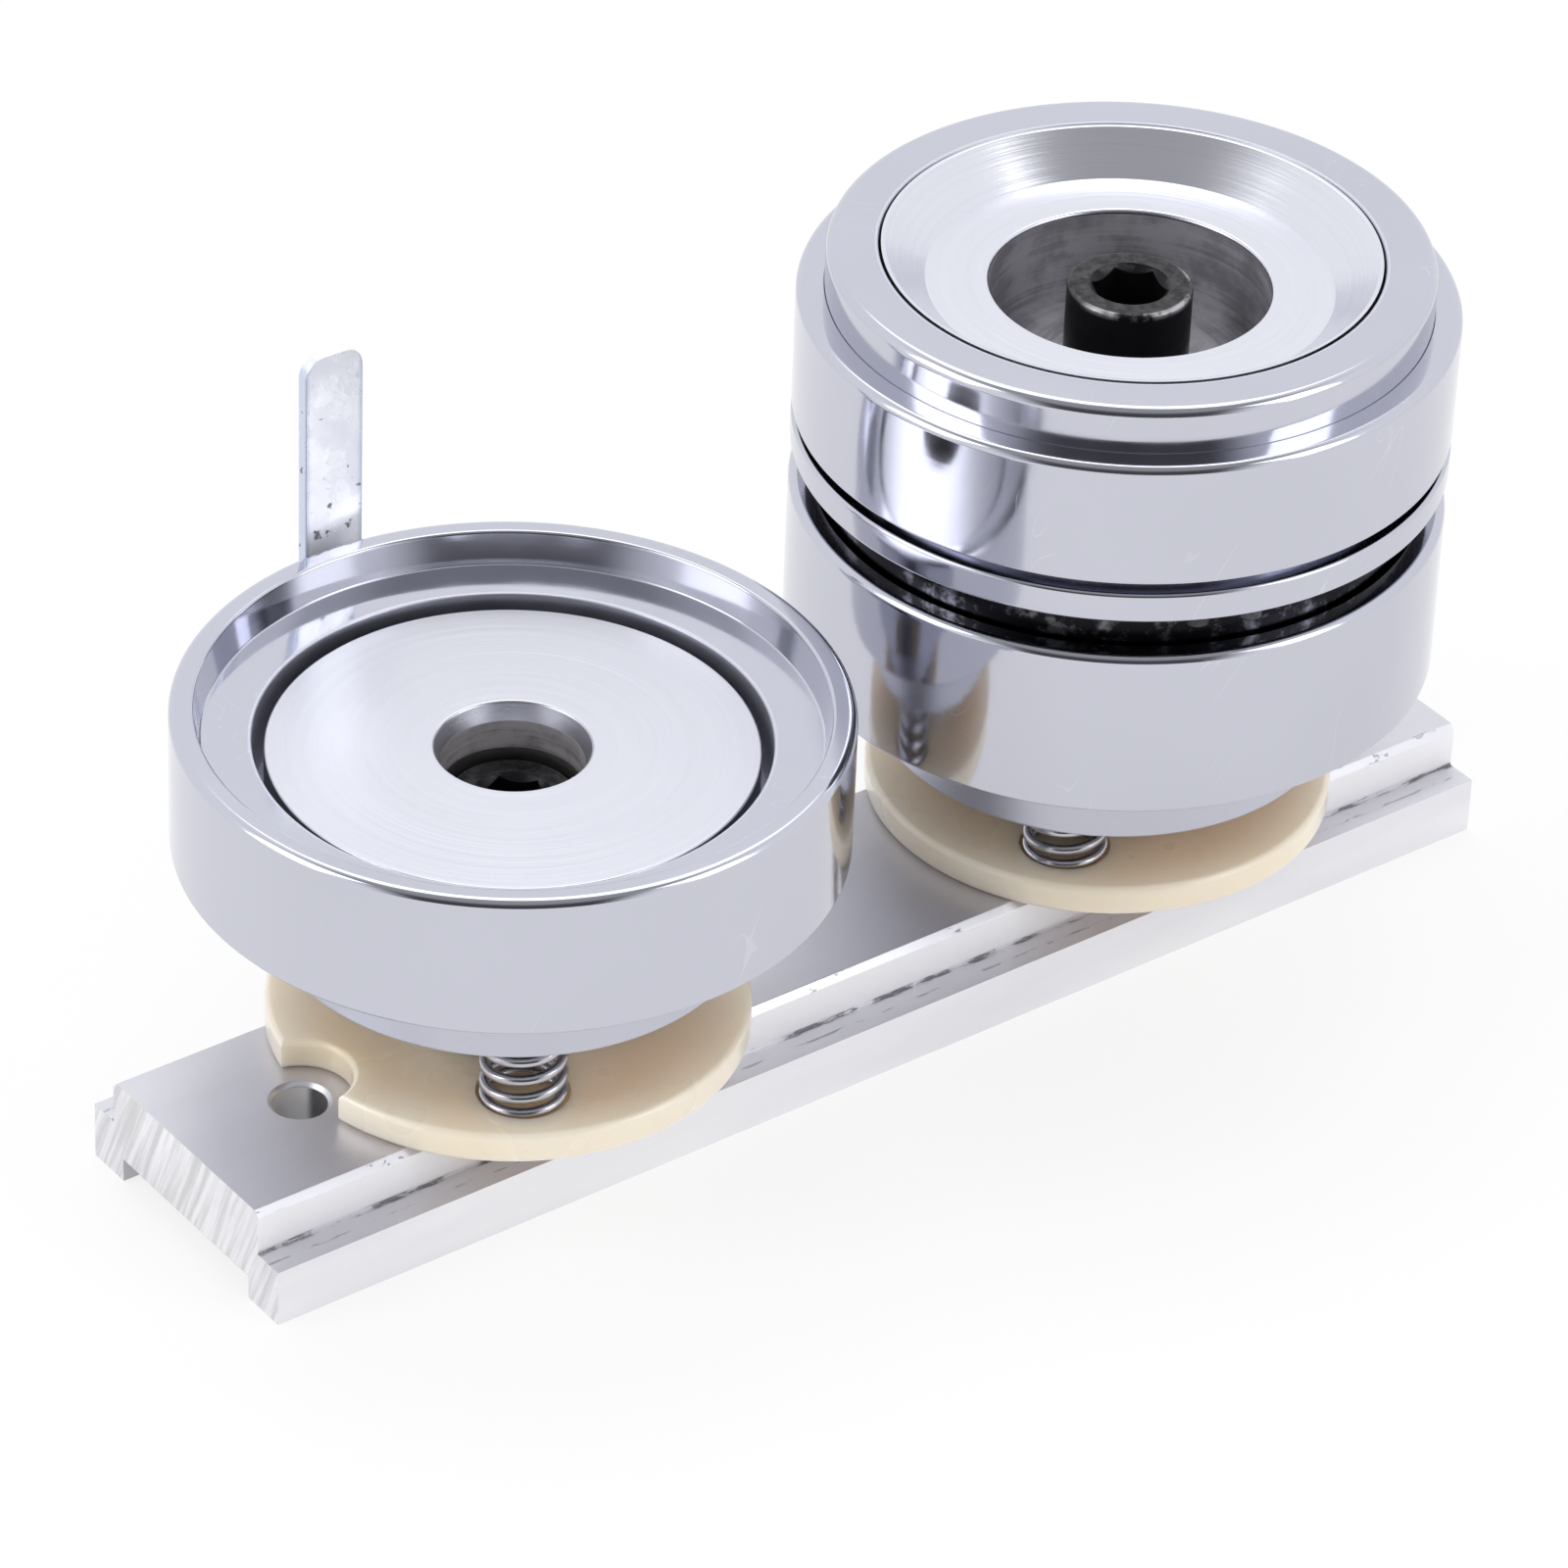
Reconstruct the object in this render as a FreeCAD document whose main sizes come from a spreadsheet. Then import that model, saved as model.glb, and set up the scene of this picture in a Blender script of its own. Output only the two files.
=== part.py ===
"""Slide-in die set for a hand press that makes 58 mm pin badges.

Two sprung lower dies stand on an aluminium slide rail, and the upper die rests on the second one. X runs along
the rail, +Y points to the handle side, +Z up. The origin lies under the middle of the rail, on the plane of its
feet. All sizes are millimetres.
"""

import FreeCAD, Part
import math
import os

import Sketcher

doc = FreeCAD.newDocument("press_die_set")
sheet = doc.addObject("Spreadsheet::Sheet", "Sizes")

DRIVING = [
    # slide rail
    ("rail_length", 181),
    ("rail_width", 30.8),
    ("foot_width", 39.2),
    ("rail_height", 13.6),
    ("foot_height", 7.6),
    ("rail_bevel", 0.8),
    ("channel_width", "=rail_width - 4"),
    ("channel_depth", 3.2),
    ("stop_hole_radius", 3.25),
    ("stop_hole_chamfer", 0.55),
    ("stop_hole_offset", "=badge_radius + 0.7"),
    ("die_gap", 9.4),
    ("die_spacing", "=2 * ring_radius + die_gap"),
    # nylon base discs
    ("badge_radius", 29),
    ("disc_thickness", 4),
    ("disc_round", 0.5),
    ("notch_radius", "=stop_hole_radius + 2.95"),
    ("spigot_radius", "=stem_radius - 5"),
    ("spigot_relief", 0.1),
    # cores: a stem with the pressing plate on top, held by one cap screw
    ("stem_radius", 14),
    ("stem_length", 27.1),
    ("nose_radius", "=stem_radius - 2.5"),
    ("nose_height", 2),
    ("plate_thickness", 8),
    ("plate_chamfer", 0.3),
    ("bore_radius", "=head_radius + 0.85"),
    ("bore_depth", 17.8),
    ("bore_lead_in", 0.9),
    # cap screws with a hexagon socket
    ("head_radius", 7.6),
    ("head_height", 10.8),
    ("head_round", 0.5),
    ("socket_width", 8),
    ("socket_depth", 5.5),
    ("socket_mouth", 0.3),
    ("shank_radius", 4.9),
    ("thread_hole_radius", "=shank_radius + 0.1"),
    ("shank_hole_radius", "=shank_radius + 0.5"),
    ("screw_end_gap", 0.8),
    # floating rings of the lower dies
    ("rim_width", 2.9),
    ("ring_radius", "=rim_radius + rim_width"),
    ("ring_proud", 5.8),
    ("rim_slope", 0.8),
    ("rim_radius", "=seat_radius + rim_slope"),
    ("seat_width", 5.55),
    ("seat_radius", "=ring_bore_radius + seat_width"),
    ("seat_depth", 4.2),
    ("ledge_fall", 0.4),
    ("ring_gap", 1.75),
    ("ring_bore_radius", "=badge_radius + ring_gap"),
    ("rim_round", 1.1),
    ("edge_round", 0.5),
    ("ring_a_wall", 18.3),
    ("ring_b_wall", 22),
    ("hub_radius", "=badge_radius - 0.5"),
    ("hub_a_gap", 10.8),
    ("hub_b_gap", 7.2),
    ("guide_clearance", 0.07),
    ("stop_clearance", 0.1),
    # coil springs and their pockets
    ("spring_circle", "=stem_radius + pocket_radius + 0.4"),
    ("spring_angle_a", 240),
    ("spring_angle_b", 220),
    ("spring_count", 3),
    ("coil_radius", 4.65),
    ("coil_wire", 0.65),
    ("coil_pitch", 2.6),
    ("pocket_radius", "=coil_radius + coil_wire + 0.3"),
    ("disc_pocket_depth", 1.6),
    ("hub_pocket_depth", 4.8),
    ("coil_end_gap", 0.05),
    # handle strip
    ("handle_width", 8.2),
    ("handle_thickness", 1.6),
    ("handle_offset", 2.7),
    ("handle_reach", "=ring_radius + 1.4"),
    ("handle_top", 84),
    ("handle_corner", 2.8),
    ("handle_start", "=spigot_radius + 0.9"),
    ("handle_bend", 2.4),
    ("handle_screw_place", "=handle_start + 2.8"),
    ("handle_screw_head", 2.2),
    ("handle_screw_shank", 1.3),
    ("handle_screw_length", 8),
    ("handle_slot_clearance", 0.15),
    # upper die: carrier with its skirt, sleeve, end band and snap ring
    ("carrier_radius", "=rim_radius - 0.5"),
    ("carrier_height", 36.3),
    ("carrier_bore", "=badge_radius + 1.35"),
    ("carrier_round", 1.25),
    ("shoulder_depth", 10.6),
    ("skirt_bore", "=carrier_radius - 3.6"),
    ("sleeve_drop", 5.8),
    ("sleeve_height", "=carrier_height - 20.2"),
    ("sleeve_clearance", 0.02),
    ("band_gap", 1.3),
    ("band_height", 3.9),
    ("band_clearance", 0.08),
    ("snap_thickness", 1.2),
    ("snap_outer_radius", "=carrier_radius + 1.3"),
    ("snap_groove_depth", 1),
    ("snap_fit", 0.05),
    ("snap_gap_angle", 250.5),
    ("snap_gap_width", 3.6),
    ("snap_lug_radius", 1.5),
    ("snap_lug_hole", 0.7),
    # upper die: punch that slides in the carrier
    ("cup_clearance", 0.3),
    ("cup_rim", 0.45),
    ("cone_foot_radius", "=carrier_bore - 5.75"),
    ("cone_depth", 4.5),
    ("socket_bore_radius", 17),
    ("socket_bore_depth", 11),
    ("cup_floor", 5.7),
    ("flange_thickness", 4),
    ("flange_clearance", 0.08),
    ("cup_skirt_radius", "=badge_radius + 0.5"),
    ("punch_thickness", 6),
    ("punch_round", 1),
    ("circlip_radius", "=skirt_bore + 0.8"),
    ("circlip_bore", "=badge_radius + 1.5"),
    ("circlip_thickness", 1.4),
    ("circlip_height", 2.9),
    ("return_coil_radius", "=skirt_bore - 1.7"),
    ("return_coil_wire", 1.2),
    ("return_coil_pitch", 6),
]
for row, (alias, size) in enumerate(DRIVING, start=1):
    sheet.set(f"A{row}", alias)
    sheet.setAlias(f"B{row}", alias)
for row, (alias, size) in enumerate(DRIVING, start=1):
    sheet.set(f"B{row}", str(size))
doc.recompute()

# Places that several pieces share, as expressions of the sheet's sizes. Heights count from the plane of the feet.
DIE_A = "-Sizes.die_spacing / 2"
DIE_B = "Sizes.die_spacing / 2"
RAIL_TOP = "Sizes.rail_height"
DISC_TOP = f"({RAIL_TOP} + Sizes.disc_thickness)"
STEM_TOP = f"({DISC_TOP} + Sizes.stem_length)"
PLATE_TOP = f"({STEM_TOP} + Sizes.plate_thickness)"
BORE_FLOOR = f"({PLATE_TOP} - Sizes.bore_depth)"
RING_TOP = f"({PLATE_TOP} + Sizes.ring_proud)"
RING_SEAT = f"({RING_TOP} - Sizes.seat_depth)"
RING_FLOOR = f"({STEM_TOP} - Sizes.stop_clearance)"
GUIDE_RADIUS = "(Sizes.stem_radius + Sizes.guide_clearance)"
SPRING_FOOT = f"({DISC_TOP} - Sizes.disc_pocket_depth)"
CARRIER_TOP = f"({RING_SEAT} + Sizes.carrier_height)"
SHOULDER = f"({CARRIER_TOP} - Sizes.shoulder_depth)"
SLEEVE_TOP = f"({CARRIER_TOP} - Sizes.sleeve_drop)"
SLEEVE_FOOT = f"({SLEEVE_TOP} - Sizes.sleeve_height)"
BAND_TOP = f"({SLEEVE_FOOT} - Sizes.band_gap)"
BAND_FOOT = f"({BAND_TOP} - Sizes.band_height)"
SNAP_FOOT = f"({BAND_FOOT} - Sizes.snap_thickness)"
CIRCLIP_FOOT = f"({RING_SEAT} + Sizes.circlip_height)"
CIRCLIP_TOP = f"({CIRCLIP_FOOT} + Sizes.circlip_thickness)"
ANNULUS = f"({CARRIER_TOP} - Sizes.cone_depth)"
SOCKET_FLOOR = f"({ANNULUS} - Sizes.socket_bore_depth)"
CUP_FOOT = f"({SOCKET_FLOOR} - Sizes.cup_floor)"
FLANGE_FOOT = f"({SHOULDER} - Sizes.flange_thickness)"
PUNCH_FOOT = f"({CUP_FOOT} - Sizes.punch_thickness)"

TOUCH = 1e-4
WIRE_SIDES = 6
COIL_RUNS = 12
RETURN_COIL_RUNS = 32


def value(expression):
    """The number that an expression of the sheet's sizes gives."""
    return float(sheet.evalExpression(expression))


def new_body(label, along="0"):
    """An empty body whose own Z axis stands at X = along."""
    body = doc.addObject("PartDesign::Body", f"Body_{label}")
    body.Label = label
    body.setExpression("Placement.Base.x", along)
    return body


def new_sketch(body, name, plane, height="0"):
    """A sketch on one of the body's own origin planes, lifted along that plane's normal."""
    sketch = body.newObject("Sketcher::SketchObject", name)
    support = [item for item in body.Origin.OriginFeatures if item.Role == plane][0]
    sketch.AttachmentSupport = [(support, "")]
    sketch.MapMode = "FlatFace"
    sketch.setExpression("AttachmentOffset.Base.z", height)
    return sketch


def bind(sketch, kind, *where, to):
    """Adds a dimension to the sketch and ties it to an expression."""
    number = sketch.addConstraint(Sketcher.Constraint(kind, *where, value(to)))
    sketch.setExpression(f"Constraints[{number}]", to)


def pin_point(sketch, geometry, end, across, up):
    """Fixes one point of the sketch at (across, up) from its origin."""
    for kind, axis, place in (("DistanceX", -2, across), ("DistanceY", -1, up)):
        if abs(value(place)) < TOUCH:
            sketch.addConstraint(Sketcher.Constraint("PointOnObject", geometry, end, axis))
        elif value(place) > 0:
            bind(sketch, kind, -1, 1, geometry, end, to=place)
        else:
            bind(sketch, kind, geometry, end, -1, 1, to=f"-({place})")


def outline(body, name, plane, corners, height="0"):
    """A closed outline of straight sides through the given corners."""
    sketch = new_sketch(body, name, plane, height)
    points = [FreeCAD.Vector(value(across), value(up), 0) for across, up in corners]
    for start, end in zip(points, points[1:] + points[:1]):
        sketch.addGeometry(Part.LineSegment(start, end), False)
    for side in range(len(points)):
        sketch.addConstraint(Sketcher.Constraint("Coincident", side - 1 if side else len(points) - 1, 2, side, 1))
    for side, (across, up) in enumerate(corners):
        pin_point(sketch, side, 1, across, up)
    return sketch


def circles(body, name, height, spots):
    """A level sketch of circles, each given as (x, y, radius)."""
    sketch = new_sketch(body, name, "XY_Plane", height)
    for number, (across, up, radius) in enumerate(spots):
        centre = FreeCAD.Vector(value(across), value(up), 0)
        sketch.addGeometry(Part.Circle(centre, FreeCAD.Vector(0, 0, 1), value(radius)), False)
        pin_point(sketch, number, 3, across, up)
        bind(sketch, "Radius", number, to=radius)
    return sketch


def turned(body, name, corners):
    """A turned form: the outline of (radius, height) corners revolved about the body's Z axis."""
    profile = outline(body, f"{name}_profile", "XZ_Plane", corners)
    turn = body.newObject("PartDesign::Revolution", name)
    turn.Profile = profile
    turn.ReferenceAxis = (profile, ["V_Axis"])
    turn.Angle = 360
    doc.recompute()
    return turn


def grooved(body, name, corners):
    """A turned groove cut from the body."""
    profile = outline(body, f"{name}_profile", "XZ_Plane", corners)
    groove = body.newObject("PartDesign::Groove", name)
    groove.Profile = profile
    groove.ReferenceAxis = (profile, ["V_Axis"])
    groove.Angle = 360
    doc.recompute()
    return groove


def raised(body, name, profile, length):
    """A pad of the profile."""
    pad = body.newObject("PartDesign::Pad", name)
    pad.Profile = profile
    pad.setExpression("Length", length)
    doc.recompute()
    return pad


def sunk(body, name, profile, depth, upward=False):
    """A pocket cut from the profile, down or upward; it must take material away."""
    before = body.Tip.Shape.Volume
    pocket = body.newObject("PartDesign::Pocket", name)
    pocket.Profile = profile
    pocket.setExpression("Length", depth)
    pocket.Reversed = upward
    doc.recompute()
    if pocket.Shape.Volume > before - TOUCH:
        raise RuntimeError(f"{body.Label}: {name} cuts nothing")
    return pocket


def patterned(body, name, feature, count):
    """The feature repeated evenly about the body's Z axis."""
    pattern = body.newObject("PartDesign::PolarPattern", name)
    pattern.Originals = [feature]
    pattern.Axis = (feature.Profile[0], ["N_Axis"])
    pattern.Angle = 360
    pattern.setExpression("Occurrences", count)
    body.Tip = pattern
    doc.recompute()
    return pattern


def circle_edges(shape, radius, height):
    """Names of the level circular edges with that radius at that height."""
    found = []
    for number, edge in enumerate(shape.Edges, start=1):
        curve = edge.Curve
        if not isinstance(curve, Part.Circle):
            continue
        if abs(curve.Radius - value(radius)) < TOUCH and abs(curve.Center.z - value(height)) < TOUCH:
            found.append(f"Edge{number}")
    return found


def rounded(body, name, size, rims, kind="Fillet"):
    """Rounds or bevels the level circular edges given as (radius, height)."""
    base = body.Tip
    edges = []
    for radius, height in rims:
        edges += circle_edges(base.Shape, radius, height)
    dressing = body.newObject(f"PartDesign::{kind}", name)
    dressing.Base = (base, edges)
    dressing.setExpression("Radius" if kind == "Fillet" else "Size", size)
    doc.recompute()
    return dressing


def slide_rail():
    """Extruded rail with two guide flanges, a shallow channel below, and its drilled holes."""
    body = new_body("slide_rail")
    half_top = "Sizes.rail_width / 2"
    half_foot = "Sizes.foot_width / 2"
    half_channel = "Sizes.channel_width / 2"
    right_half = [
        (half_channel, "Sizes.channel_depth"),
        (half_channel, "0"),
        (half_foot, "0"),
        (half_foot, "Sizes.foot_height"),
        (half_top, "Sizes.foot_height"),
        (half_top, f"{RAIL_TOP} - Sizes.rail_bevel"),
        (f"{half_top} - Sizes.rail_bevel", RAIL_TOP),
    ]
    left_half = [(f"-({across})", up) for across, up in reversed(right_half)]
    section = outline(body, "rail_section", "YZ_Plane", right_half + left_half)
    bar = raised(body, "rail_bar", section, "Sizes.rail_length")
    bar.Midplane = True
    doc.recompute()
    web = "Sizes.rail_height - Sizes.channel_depth"
    stops = []
    threads = []
    for axis, side in ((DIE_A, "-"), (DIE_B, "")):
        stops.append((f"{axis} + {side}Sizes.stop_hole_offset", "0", "Sizes.stop_hole_radius"))
        threads.append((axis, "0", "Sizes.thread_hole_radius"))
    sunk(body, "stop_holes", circles(body, "stop_hole_plan", RAIL_TOP, stops), web)
    sunk(body, "thread_holes", circles(body, "thread_hole_plan", RAIL_TOP, threads), web)
    pilot = [(f"{DIE_A} + Sizes.handle_offset", "Sizes.handle_screw_place", "Sizes.handle_screw_shank")]
    sunk(body, "pilot_hole", circles(body, "pilot_hole_plan", RAIL_TOP, pilot), "Sizes.handle_screw_length")
    mouths = [("Sizes.stop_hole_radius", RAIL_TOP), ("Sizes.stop_hole_radius", "Sizes.channel_depth")]
    rounded(body, "stop_hole_mouths", "Sizes.stop_hole_chamfer", mouths, "Chamfer")


def base_disc(label, axis, side, spring_angle, has_handle):
    """Nylon disc under one die, notched round the rail's stop hole, with a pocket for each spring."""
    body = new_body(label, axis)
    rim = "Sizes.badge_radius"
    hole = "(Sizes.spigot_radius + Sizes.spigot_relief)"
    turned(body, "disc", [(hole, RAIL_TOP), (rim, RAIL_TOP), (rim, DISC_TOP), (hole, DISC_TOP)])
    rounded(body, "disc_edges", "Sizes.disc_round", [(rim, RAIL_TOP), (rim, DISC_TOP)])
    notch = [(f"{side}Sizes.stop_hole_offset", "0", "Sizes.notch_radius")]
    sunk(body, "notch", circles(body, "notch_plan", DISC_TOP, notch), "Sizes.disc_thickness")
    if has_handle:
        half = "(Sizes.handle_width / 2 + Sizes.handle_slot_clearance)"
        inner = "Sizes.handle_start - Sizes.handle_slot_clearance"
        corners = [
            (f"Sizes.handle_offset - {half}", inner),
            (f"Sizes.handle_offset + {half}", inner),
            (f"Sizes.handle_offset + {half}", "Sizes.badge_radius * 1.1"),
            (f"Sizes.handle_offset - {half}", "Sizes.badge_radius * 1.1"),
        ]
        slot = outline(body, "handle_slot_plan", "XY_Plane", corners, RAIL_TOP)
        sunk(body, "handle_slot", slot, "Sizes.handle_thickness + Sizes.handle_slot_clearance", upward=True)
    pocket = sunk(body, "pocket", spring_circle(body, DISC_TOP, spring_angle), "Sizes.disc_pocket_depth")
    patterned(body, "pockets", pocket, "Sizes.spring_count")


def spring_place(angle):
    """(x, y) of the first spring of a die, from the die's axis."""
    return f"Sizes.spring_circle * cos({angle} * 1 deg)", f"Sizes.spring_circle * sin({angle} * 1 deg)"


def spring_circle(body, height, angle):
    """Sketch of the first spring pocket of a die."""
    return circles(body, "pocket_plan", height, [(*spring_place(angle), "Sizes.pocket_radius")])


def stem(label, axis):
    """Steel stem that guides the ring, with a spigot in the disc and a counterbore for the screw."""
    body = new_body(label, axis)
    spigot_foot = f"({RAIL_TOP} + Sizes.spigot_relief)"
    nose_top = f"({STEM_TOP} + Sizes.nose_height - Sizes.spigot_relief)"
    turned(body, "stem", [
        ("Sizes.shank_hole_radius", spigot_foot),
        ("Sizes.spigot_radius", spigot_foot),
        ("Sizes.spigot_radius", DISC_TOP),
        ("Sizes.stem_radius", DISC_TOP),
        ("Sizes.stem_radius", STEM_TOP),
        ("Sizes.nose_radius", STEM_TOP),
        ("Sizes.nose_radius", nose_top),
        ("Sizes.bore_radius", nose_top),
        ("Sizes.bore_radius", BORE_FLOOR),
        ("Sizes.shank_hole_radius", BORE_FLOOR),
    ])


def core_plate(label, axis):
    """Pressing plate of badge size that caps the stem and stops the ring."""
    body = new_body(label, axis)
    recess = "Sizes.nose_radius + Sizes.guide_clearance"
    recess_top = f"({STEM_TOP} + Sizes.nose_height)"
    turned(body, "plate", [
        (recess, STEM_TOP),
        ("Sizes.badge_radius", STEM_TOP),
        ("Sizes.badge_radius", PLATE_TOP),
        ("Sizes.bore_radius", PLATE_TOP),
        ("Sizes.bore_radius", recess_top),
        (recess, recess_top),
    ])
    rounded(body, "lead_in", "Sizes.bore_lead_in", [("Sizes.bore_radius", PLATE_TOP)])
    rims = [("Sizes.badge_radius", PLATE_TOP), ("Sizes.badge_radius", STEM_TOP)]
    rounded(body, "plate_rims", "Sizes.plate_chamfer", rims, "Chamfer")


def cap_screw(label, axis, head_foot, tip):
    """Socket head cap screw standing on its die's axis."""
    body = new_body(label, axis)
    head_top = f"({head_foot} + Sizes.head_height)"
    turned(body, "blank", [
        ("0", tip),
        ("Sizes.shank_radius", tip),
        ("Sizes.shank_radius", head_foot),
        ("Sizes.head_radius", head_foot),
        ("Sizes.head_radius", head_top),
        ("0", head_top),
    ])
    rounded(body, "head_edge", "Sizes.head_round", [("Sizes.head_radius", head_top)])
    corner = "Sizes.socket_width / sqrt(3)"
    hexagon = [(f"{corner} * cos({turn} deg)", f"{corner} * sin({turn} deg)") for turn in range(15, 360, 60)]
    sunk(body, "socket", outline(body, "socket_plan", "XY_Plane", hexagon, head_top), "Sizes.socket_depth")
    mouth = f"({corner} + Sizes.socket_mouth)"
    grooved(body, "socket_mouth", [("0", f"{head_top} - {mouth}"), (mouth, head_top), ("0", head_top)])


def float_ring(label, axis, wall, hub_gap, seat_radius, fall, spring_angle):
    """Sprung ring of a lower die: a rim round the core plate over a hub that slides on the stem."""
    body = new_body(label, axis)
    wall_foot = f"({RING_TOP} - {wall})"
    hub_foot = f"({DISC_TOP} + {hub_gap})"
    turned(body, "ring", [
        (GUIDE_RADIUS, hub_foot),
        ("Sizes.hub_radius", hub_foot),
        ("Sizes.hub_radius", wall_foot),
        ("Sizes.ring_radius", wall_foot),
        ("Sizes.ring_radius", RING_TOP),
        ("Sizes.rim_radius", RING_TOP),
        (seat_radius, RING_SEAT),
        ("Sizes.ring_bore_radius", f"{RING_SEAT} - {fall}"),
        ("Sizes.ring_bore_radius", RING_FLOOR),
        (GUIDE_RADIUS, RING_FLOOR),
    ])
    rounded(body, "rim", "Sizes.rim_round", [("Sizes.ring_radius", RING_TOP)])
    feet = [("Sizes.ring_radius", wall_foot), ("Sizes.hub_radius", hub_foot)]
    rounded(body, "feet", "Sizes.edge_round", feet)
    profile = spring_circle(body, hub_foot, spring_angle)
    pocket = sunk(body, "pocket", profile, "Sizes.hub_pocket_depth", upward=True)
    patterned(body, "pockets", pocket, "Sizes.spring_count")


def coil(radius, wire, height, pitch, runs_per_turn):
    """A coil of straight runs with a six-sided wire, standing on the origin."""
    rise = height - 2 * wire
    turns = rise / pitch
    runs = round(turns * runs_per_turn)
    points = []
    for step in range(runs + 1):
        angle = 2 * math.pi * turns * step / runs
        lift = wire + rise * step / runs
        points.append(FreeCAD.Vector(radius * math.cos(angle), radius * math.sin(angle), lift))
    ahead = (points[1] - points[0]).normalize()
    outward = FreeCAD.Vector(1, 0, 0)
    outward = (outward - ahead * outward.dot(ahead)).normalize()
    upward = ahead.cross(outward)
    corners = []
    for side in range(WIRE_SIDES + 1):
        angle = 2 * math.pi * side / WIRE_SIDES
        corners.append(points[0] + outward * (wire * math.cos(angle)) + upward * (wire * math.sin(angle)))
    mitred_corners = 1
    path = Part.Wire(Part.makePolygon(points).Edges)
    return path.makePipeShell([Part.makePolygon(corners)], True, False, mitred_corners)


def die_springs(label, axis, hub_gap, angle):
    """The coil springs between a base disc and its ring, seated in their pockets."""
    gap = value("Sizes.coil_end_gap")
    span = value(f"{hub_gap} + Sizes.disc_pocket_depth + Sizes.hub_pocket_depth") - 2 * gap
    pitch = value("Sizes.coil_pitch")
    one = coil(value("Sizes.coil_radius"), value("Sizes.coil_wire"), span, pitch, COIL_RUNS)
    count = round(value("Sizes.spring_count"))
    springs = []
    for number in range(count):
        turn = math.radians(value(angle) + 360 * number / count)
        spring = one.copy()
        across = value("Sizes.spring_circle") * math.cos(turn)
        spring.translate(FreeCAD.Vector(across, value("Sizes.spring_circle") * math.sin(turn), gap))
        springs.append(spring)
    group = doc.addObject("Part::Feature", f"Coils_{label}")
    group.Label = label
    group.Shape = Part.makeCompound(springs)
    group.setExpression("Placement.Base.x", axis)
    group.setExpression("Placement.Base.z", SPRING_FOOT)


def handle_strip():
    """Plated steel strip: its foot lies in the slot under disc A, and it stands up behind the ring."""
    body = new_body("handle_strip", DIE_A)
    foot_top = f"{RAIL_TOP} + Sizes.handle_thickness"
    back = "Sizes.handle_reach + Sizes.handle_thickness"
    side_view = outline(body, "strip_side", "YZ_Plane", [
        ("Sizes.handle_start", RAIL_TOP),
        (back, RAIL_TOP),
        (back, "Sizes.handle_top"),
        ("Sizes.handle_reach", "Sizes.handle_top"),
        ("Sizes.handle_reach", foot_top),
        ("Sizes.handle_start", foot_top),
    ])
    side_view.setExpression("AttachmentOffset.Base.z", "Sizes.handle_offset")
    strip = raised(body, "strip", side_view, "Sizes.handle_width")
    strip.Midplane = True
    doc.recompute()
    bends = {
        "inner_bend": ("Sizes.handle_reach", foot_top, "Sizes.handle_bend"),
        "outer_bend": (back, RAIL_TOP, "Sizes.handle_bend + Sizes.handle_thickness"),
    }
    for name, (across, up, radius) in bends.items():
        corner = FreeCAD.Vector(value("Sizes.handle_offset"), value(across), value(up))
        dress_edges(body, name, radius, [corner])
    half = value("Sizes.handle_width / 2")
    middle = value("Sizes.handle_reach + Sizes.handle_thickness / 2")
    tops = []
    for side in (-half, half):
        tops.append(FreeCAD.Vector(value("Sizes.handle_offset") + side, middle, value("Sizes.handle_top")))
    dress_edges(body, "round_top", "Sizes.handle_corner", tops)
    hole = [("Sizes.handle_offset", "Sizes.handle_screw_place", "Sizes.handle_screw_shank")]
    sunk(body, "screw_hole", circles(body, "screw_hole_plan", foot_top, hole), "Sizes.handle_thickness")
    sink = "Sizes.handle_screw_head - Sizes.handle_screw_shank"
    rounded(body, "countersink", sink, [("Sizes.handle_screw_shank", foot_top)], "Chamfer")


def dress_edges(body, name, radius, middles):
    """Rounds the straight edges whose middles lie at the given points."""
    base = body.Tip
    names = []
    for number, edge in enumerate(base.Shape.Edges, start=1):
        middle = edge.valueAt((edge.FirstParameter + edge.LastParameter) / 2)
        if any(middle.distanceToPoint(spot) < TOUCH for spot in middles):
            names.append(f"Edge{number}")
    fillet = body.newObject("PartDesign::Fillet", name)
    fillet.Base = (base, names)
    fillet.setExpression("Radius", radius)
    doc.recompute()


def handle_screw():
    """Countersunk screw that holds the strip's foot to the rail."""
    body = new_body("handle_screw", f"{DIE_A} + Sizes.handle_offset")
    body.setExpression("Placement.Base.y", "Sizes.handle_screw_place")
    top = f"({RAIL_TOP} + Sizes.handle_thickness)"
    shank = "Sizes.handle_screw_shank"
    tip = f"({RAIL_TOP} - Sizes.handle_screw_length)"
    turned(body, "screw", [
        ("0", tip),
        (shank, tip),
        (shank, f"{top} - (Sizes.handle_screw_head - {shank})"),
        ("Sizes.handle_screw_head", top),
        ("0", top),
    ])


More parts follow.
